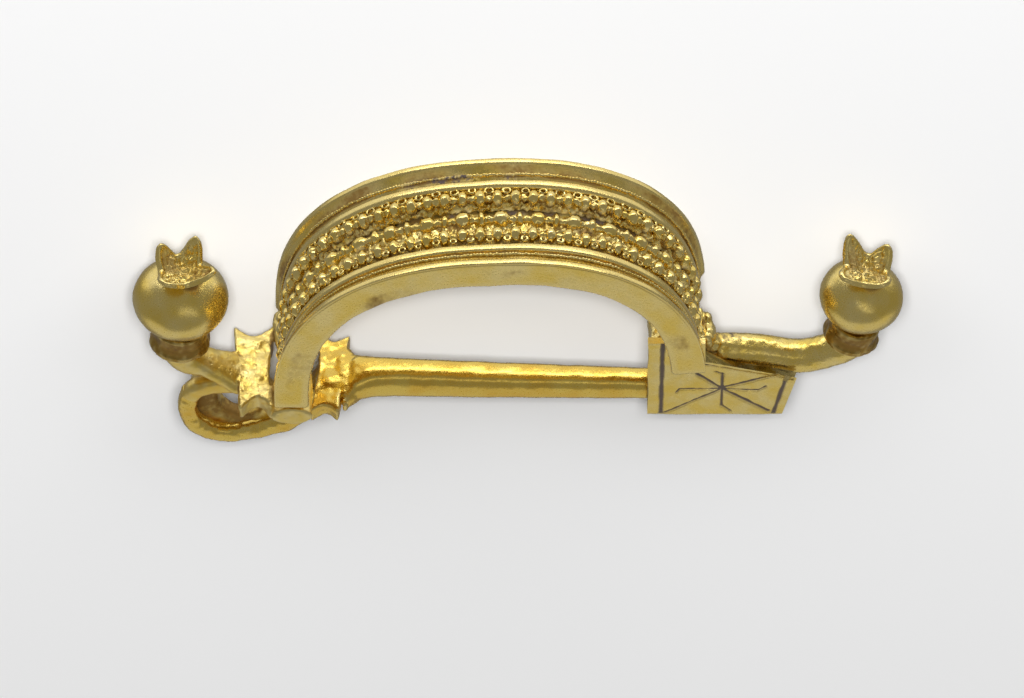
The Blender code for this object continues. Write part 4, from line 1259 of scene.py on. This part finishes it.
class FIBULA_OT_foot(bpy.types.Operator):
    """Make the foot's rod and block and the engraved catch plate"""

    bl_idname = "fibula.foot"
    bl_label = "Foot and catch"

    def execute(self, context):
        scene = context.scene
        foot, finish, places = scene.fibula_foot, scene.fibula_finish, Places(scene)
        lumps_at = [((places.block_right + 0.2, 0.1, 4.6), (0.5, 1.3, 0.8)),
                    ((places.block_right + 0.1, 0.9, 4.9), (0.4, 0.7, 0.7)),
                    ((places.block_right + 0.5, -0.4, 4.2), (0.6, 0.7, 0.5))]
        shells = [rod_shell(places, foot, scene.fibula_finials.right_lean), block_shell(places, foot)]
        shells += [blob_shell(centre, radii) for centre, radii in lumps_at]
        mesh = cast_together("foot", shells)
        points = coordinates(mesh)
        rough = ramp(-points[:, 0], -15.5, -14.6)
        roughen(mesh, [(2.2, 0.045, 33), (0.6, 0.022, 34), (0.25, 0.008, 35)], 0.35 + 0.8 * rough)
        spot = np.linalg.norm((points - np.array([15.75, 0.25, 4.3])) / np.array([0.75, 0.45, 0.8]), axis=1)
        paint_gold(mesh, 24, 0.75 * ramp(-points[:, 0], -14.9, -14.2) * ramp(-points[:, 2], -5.9, -4.6),
                   ramp(-spot, -1.1, -0.8), depth=0.07)
        material = gold_finish("foot_gold", (finish.gold, finish.pale), 0.26, 0.006, 0.008, 1.5)
        show("foot_casting", mesh, material, "brooch", ("foot_with_catch",))
        material = gold_finish("plate_gold", (finish.pale, finish.gold), 0.3, 0.005, 0.006, 1.1, filled=True)
        show("catch_plate", make_plate(places, foot), material, "brooch", ())
        return {"FINISHED"}


# The finials

def tooth_share(turns, tips):
    """How far each angle is from a notch (0) towards a tooth's tip (1)."""
    tips = sorted(tips)
    best = np.zeros(len(turns))
    for k, tip in enumerate(tips):
        before = (tip - tips[k - 1]) % 360
        after = (tips[(k + 1) % len(tips)] - tip) % 360
        offset = (np.degrees(turns) - tip + 180) % 360 - 180
        reach = np.where(offset < 0, before / 2, after / 2)
        best = np.maximum(best, np.clip(1 - np.abs(offset) / reach, 0, 1))
    return ramp(best, 0, 1) ** 1.15


def fruit_mesh(name, radius, half_height, tips, lengths, spreads, finials, seed):
    """An oblate fruit with a cup of four thick teeth, its lowest point at the origin."""
    turns = full_turn(FRUIT_SIDES)
    neck, height = mm(finials.calyx_neck), mm(finials.calyx_height)
    shoulder = math.asin(neck / radius)
    top = half_height * (1 + math.cos(shoulder))
    share_at = tooth_share(turns, tips)
    reach = np.interp(np.degrees(turns), *np.array(sorted(zip(tips, lengths))).T, period=360)
    spread = np.interp(np.degrees(turns), *np.array(sorted(zip(tips, spreads))).T, period=360)
    rings = []
    for t in np.linspace(0.02, math.pi - shoulder, BODY_RINGS):
        rings.append(turned(turns, radius * math.sin(t), half_height * (1 - math.cos(t))))
    notch, lip = 0.42, 0.56
    edge_r = 1.38 + (spread - 1.38) * share_at
    edge_z = top + notch + (height * reach - notch) * share_at
    thick = lip / 2 * (1 - 0.25 * share_at)
    for t in np.linspace(0.06, 1, CUP_RINGS):
        r = neck + (edge_r + thick * 0.5 - neck) * t ** 0.9 * (1 - 0.1 * math.sin(math.pi * t))
        z = top + (edge_z - top) * t ** 1.15
        rings.append(turned(turns, r, z))
    for t in np.linspace(0.2, math.pi - 0.2, LIP_RINGS):
        r = edge_r - thick * (1 - math.cos(t)) / 1.2 + thick * 0.4
        z = edge_z + thick * 0.8 * math.sin(t)
        rings.append(turned(turns, r, z))
    inner_r = edge_r - 1.3 * thick
    for t in np.linspace(0.08, 0.97, 22):
        r = inner_r * (1 - t) ** 0.75 * (1 - 0.12 * math.sin(math.pi * t)) + 0.03
        z = edge_z + (top + 0.3 - edge_z) * (1 - (1 - t) ** 1.7)
        rings.append(turned(turns, r, z))
    mesh = plain_mesh(name, *skinned(np.array(rings)))
    points = coordinates(mesh)
    calyx = ramp(points[:, 2], top + 0.05, top + 0.5)
    ring_index = np.arange(len(points)) // FRUIT_SIDES
    cup = (ring_index >= BODY_RINGS + CUP_RINGS + LIP_RINGS).astype(float)
    roughen(mesh, [(2.4, 0.014, seed), (0.8, 0.0025, seed + 1)], 1 - 0.5 * calyx)
    roughen(mesh, [(0.5, 0.05, seed + 2), (0.22, 0.03, seed + 3)], cup + 0.15 * calyx * (1 - cup))
    # Painted shade with dirt where the calyx meets the fruit, at the bottom by the collar and in the cup; a
    # darker band below the fruit's middle.
    soil_and_shade = 0.8 * near(points[:, 2], top + 0.05, 0.05, 0.32) * (1 - cup)
    band = 0.3 * near(points[:, 2], 0.72 * half_height, 0.1, 0.5)
    bottom = 0.6 * ramp(-points[:, 2], -0.28, -0.08)
    floor = 0.45 * cup
    paint_gold(mesh, 16, np.maximum.reduce([soil_and_shade, band, bottom, floor]), depth=0.1)
    return mesh


def collar_mesh(name, radius, height, seed):
    """A turned collar with a rounded lower edge."""
    core = 0.3
    outline = rounded([(core, 0), (radius - 0.25, 0), (radius, 0.12), (radius, 0.42),
                       (0.88 * radius, 0.5 * height), (0.9 * radius, height - 0.1), (0.84 * radius, height),
                       (core, height)], [0.01, 0.1, 0.14, 0.2, 0.5, 0.1, 0.1, 0.01], 0.06)
    start = int(np.argmin(outline[:, 0] + 10 * outline[:, 1]))
    outline = np.roll(outline, -start, axis=0)
    turns = full_turn(110)
    rings = np.array([turned(turns, r, z) for r, z in outline if r > core + 0.001])
    mesh = plain_mesh(name, *skinned(rings))
    points = coordinates(mesh)
    roughen(mesh, [(1.6, 0.03, seed), (0.5, 0.012, seed + 1)])
    tarnish = near(points[:, 2], 0.62 * height, 0.2 * height, 0.42 * height)
    paint_gold(mesh, 16, 0.6 * tarnish, depth=0.05)
    return mesh


def leaned(mesh, seat, rise, lean, own_lean=0.0):
    """Stand a turned mesh on a seat, leaning towards +X."""

    def turn(by):
        return np.array(Matrix.Rotation(by, 3, "Y")).T

    points = coordinates(mesh) @ turn(own_lean) + np.array([0, 0, rise])
    set_coordinates(mesh, points @ turn(lean) + np.array(seat))


class FIBULA_OT_finials(bpy.types.Operator):
    """Make the two pomegranates and their collars"""

    bl_idname = "fibula.finials"
    bl_label = "Pomegranates"

    def execute(self, context):
        scene = context.scene
        sizes, finish, places = scene.fibula_finials, scene.fibula_finish, Places(scene)
        height = mm(sizes.collar_height)
        fruit_gold = gold_finish("fruit_gold", (finish.gold, finish.pale), 0.24, 0.016, 0.006, 2.0)
        dull = Vector(finish.dull)
        collar_gold = gold_finish("collar_gold", (dull, 1.4 * dull), 0.3, 0.006, 0.006, 2.2)
        ends = {
            "left": (places.arm_seat, sizes.left_lean, 0.0,
                     mm(sizes.left_radius), mm(sizes.left_half), mm(sizes.left_collar), 81),
            "right": (places.rod_seat, sizes.right_lean, sizes.right_straight,
                      mm(sizes.right_radius), mm(sizes.right_half), mm(sizes.right_collar), 91),
        }
        for side, (seat, lean, own_lean, radius, half, collar, seed) in ends.items():
            mesh = collar_mesh(f"collar_{side}", collar, height, seed + 5)
            leaned(mesh, seat, SOLDER_GAP, lean)
            show(f"turned_collar_{side}", mesh, collar_gold, "brooch", (f"collar_{side}",))
            mesh = fruit_mesh(f"fruit_{side}", radius, half, *FRUIT_TEETH[side], sizes, seed)
            leaned(mesh, seat, height + 2 * SOLDER_GAP, lean, own_lean)
            node = f"pomegranate_{side}"
            show(f"fruit_{side}", mesh, fruit_gold, "brooch", (node,), 70)
        return {"FINISHED"}


# Floor, lights and camera

def add_light(name, place, aim, size, radiance, floor_only=False):
    """A soft rectangular light, for the gold to mirror or for the floor alone."""
    data = bpy.data.lights.new(name, "AREA")
    data.shape = "RECTANGLE"
    data.size, data.size_y = size
    data.energy = radiance * math.pi * size[0] * size[1]
    light = bpy.data.objects.new(name, data)
    light.location = place
    light.rotation_euler = (Vector(aim) - Vector(place)).to_track_quat("-Z", "Y").to_euler()
    light.visible_glossy = not floor_only
    light.visible_diffuse = floor_only
    light.visible_camera = False
    bpy.context.scene.collection.objects.link(light)


def camera_axes(elevation):
    """Directions from the brooch back to the camera and up in its picture."""
    back = Vector((0, math.cos(elevation), math.sin(elevation)))
    up = Vector((0, math.sin(elevation), -math.cos(elevation)))
    return back, up


def add_panel(name, aim, elevation, turn, rise, width, height, radiance):
    """A panel for the gold to mirror; turn and rise are its angles from the camera,
    to the right and towards the top of the picture, all in degrees."""
    reach = 0.5
    up, side = math.radians(rise), math.radians(turn)
    back, over = camera_axes(elevation)
    towards = (back * math.cos(up) + over * math.sin(up)) * math.cos(side) + Vector((math.sin(side), 0, 0))
    size = (2 * reach * math.tan(math.radians(width / 2)), 2 * reach * math.tan(math.radians(height / 2)))
    add_light(name, Vector(aim) + towards * reach, aim, size, radiance)


def add_floor(tone):
    """A plain pale floor, just under what rests on it."""
    half, low = 1.2, -0.00002
    mesh = bpy.data.meshes.new("floor")
    mesh.from_pydata([(-half, -half, low), (half, -half, low), (half, half, low), (-half, half, low)],
                     [], [(0, 1, 2, 3)])
    material = bpy.data.materials.new("pale_floor")
    material.use_nodes = True
    shader = material.node_tree.nodes["Principled BSDF"]
    shader.inputs["Base Color"].default_value = (*tone, 1.0)
    shader.inputs["Roughness"].default_value = 0.9
    shader.inputs["Specular IOR Level"].default_value = 0.1
    mesh.materials.append(material)
    floor = bpy.data.objects.new("floor", mesh)
    floor.visible_glossy = False
    floor.visible_shadow = False
    bpy.context.scene.collection.objects.link(floor)


class FIBULA_OT_stage(bpy.types.Operator):
    """Lay the floor and set the lights and the camera"""

    bl_idname = "fibula.stage"
    bl_label = "Stage"

    def execute(self, context):
        scene = context.scene
        stage = scene.fibula_stage
        add_floor(tuple(stage.floor))
        aim = tuple(in_frame([LIT_MIDDLE])[0])
        tilt = stage.elevation
        add_panel("softbox", aim, tilt, 0, 74, 64, 10, 4.4)
        add_panel("table", aim, tilt, 0, 104, 120, 48, 0.56)
        add_panel("backdrop", aim, tilt, 0, -108, 120, 60, 0.27)
        add_panel("front_light", aim, tilt, 13, -12, 34, 12, 0.5)
        add_light("shadow_light", (0.0, 0.5, 0.19), aim, (0.9, 0.4), 3.0, floor_only=True)
        add_light("floor_light", (0.0, 0.587, 0.56), aim, (0.15, 0.12), 118.0, floor_only=True)
        world = bpy.data.worlds.new("studio")
        world.use_nodes = True
        dim = 0.25
        world.node_tree.nodes["Background"].inputs["Color"].default_value = (dim, dim, dim, 1)
        scene.world = world
        world.cycles_visibility.diffuse = False
        scene.view_settings.view_transform = "Standard"
        data = bpy.data.cameras.new("camera")
        data.lens = data.sensor_width * stage.distance / stage.view_width
        data.clip_start, data.clip_end = 0.01, 10.0
        camera = bpy.data.objects.new("camera", data)
        scene.collection.objects.link(camera)
        back, up = camera_axes(stage.elevation)
        centre = Vector(in_frame([VIEW_MIDDLE])[0])
        turn = Matrix((up.cross(back), up, back)).transposed()
        camera.matrix_world = Matrix.Translation(centre + back * stage.distance) @ turn.to_4x4()
        scene.camera = camera
        return {"FINISHED"}


OPERATORS = (
    FIBULA_OT_bow,
    FIBULA_OT_wires,
    FIBULA_OT_head,
    FIBULA_OT_spring,
    FIBULA_OT_pin,
    FIBULA_OT_foot,
    FIBULA_OT_finials,
    FIBULA_OT_stage,
)


class FIBULA_PT_panel(bpy.types.Panel):
    """Buttons for the brooch's pieces, and their sizes and colours"""

    bl_idname = "FIBULA_PT_panel"
    bl_label = "Arch-bow fibula"
    bl_space_type = "VIEW_3D"
    bl_region_type = "UI"
    bl_category = "Fibula"

    def draw(self, context):
        layout = self.layout
        for operator in OPERATORS:
            layout.operator(operator.bl_idname)
        for name, group in GROUPS.items():
            box = layout.box()
            for key in group.__annotations__:
                box.prop(getattr(context.scene, name), key)


def register():
    """Make the properties, the operators and the panel known."""
    for group in GROUPS.values():
        bpy.utils.register_class(group)
    for name, group in GROUPS.items():
        setattr(bpy.types.Scene, name, bpy.props.PointerProperty(type=group))
    for operator in OPERATORS:
        bpy.utils.register_class(operator)
    bpy.utils.register_class(FIBULA_PT_panel)


def unregister():
    """Take back what register() made."""
    bpy.utils.unregister_class(FIBULA_PT_panel)
    for operator in reversed(OPERATORS):
        bpy.utils.unregister_class(operator)
    for name in reversed(list(GROUPS)):
        delattr(bpy.types.Scene, name)
        bpy.utils.unregister_class(GROUPS[name])


def main():
    """Make every piece and the stage."""
    register()
    bpy.ops.fibula.bow()
    bpy.ops.fibula.wires()
    bpy.ops.fibula.head()
    bpy.ops.fibula.spring()
    bpy.ops.fibula.pin()
    bpy.ops.fibula.foot()
    bpy.ops.fibula.finials()
    bpy.ops.fibula.stage()


if __name__ == "__main__":
    main()
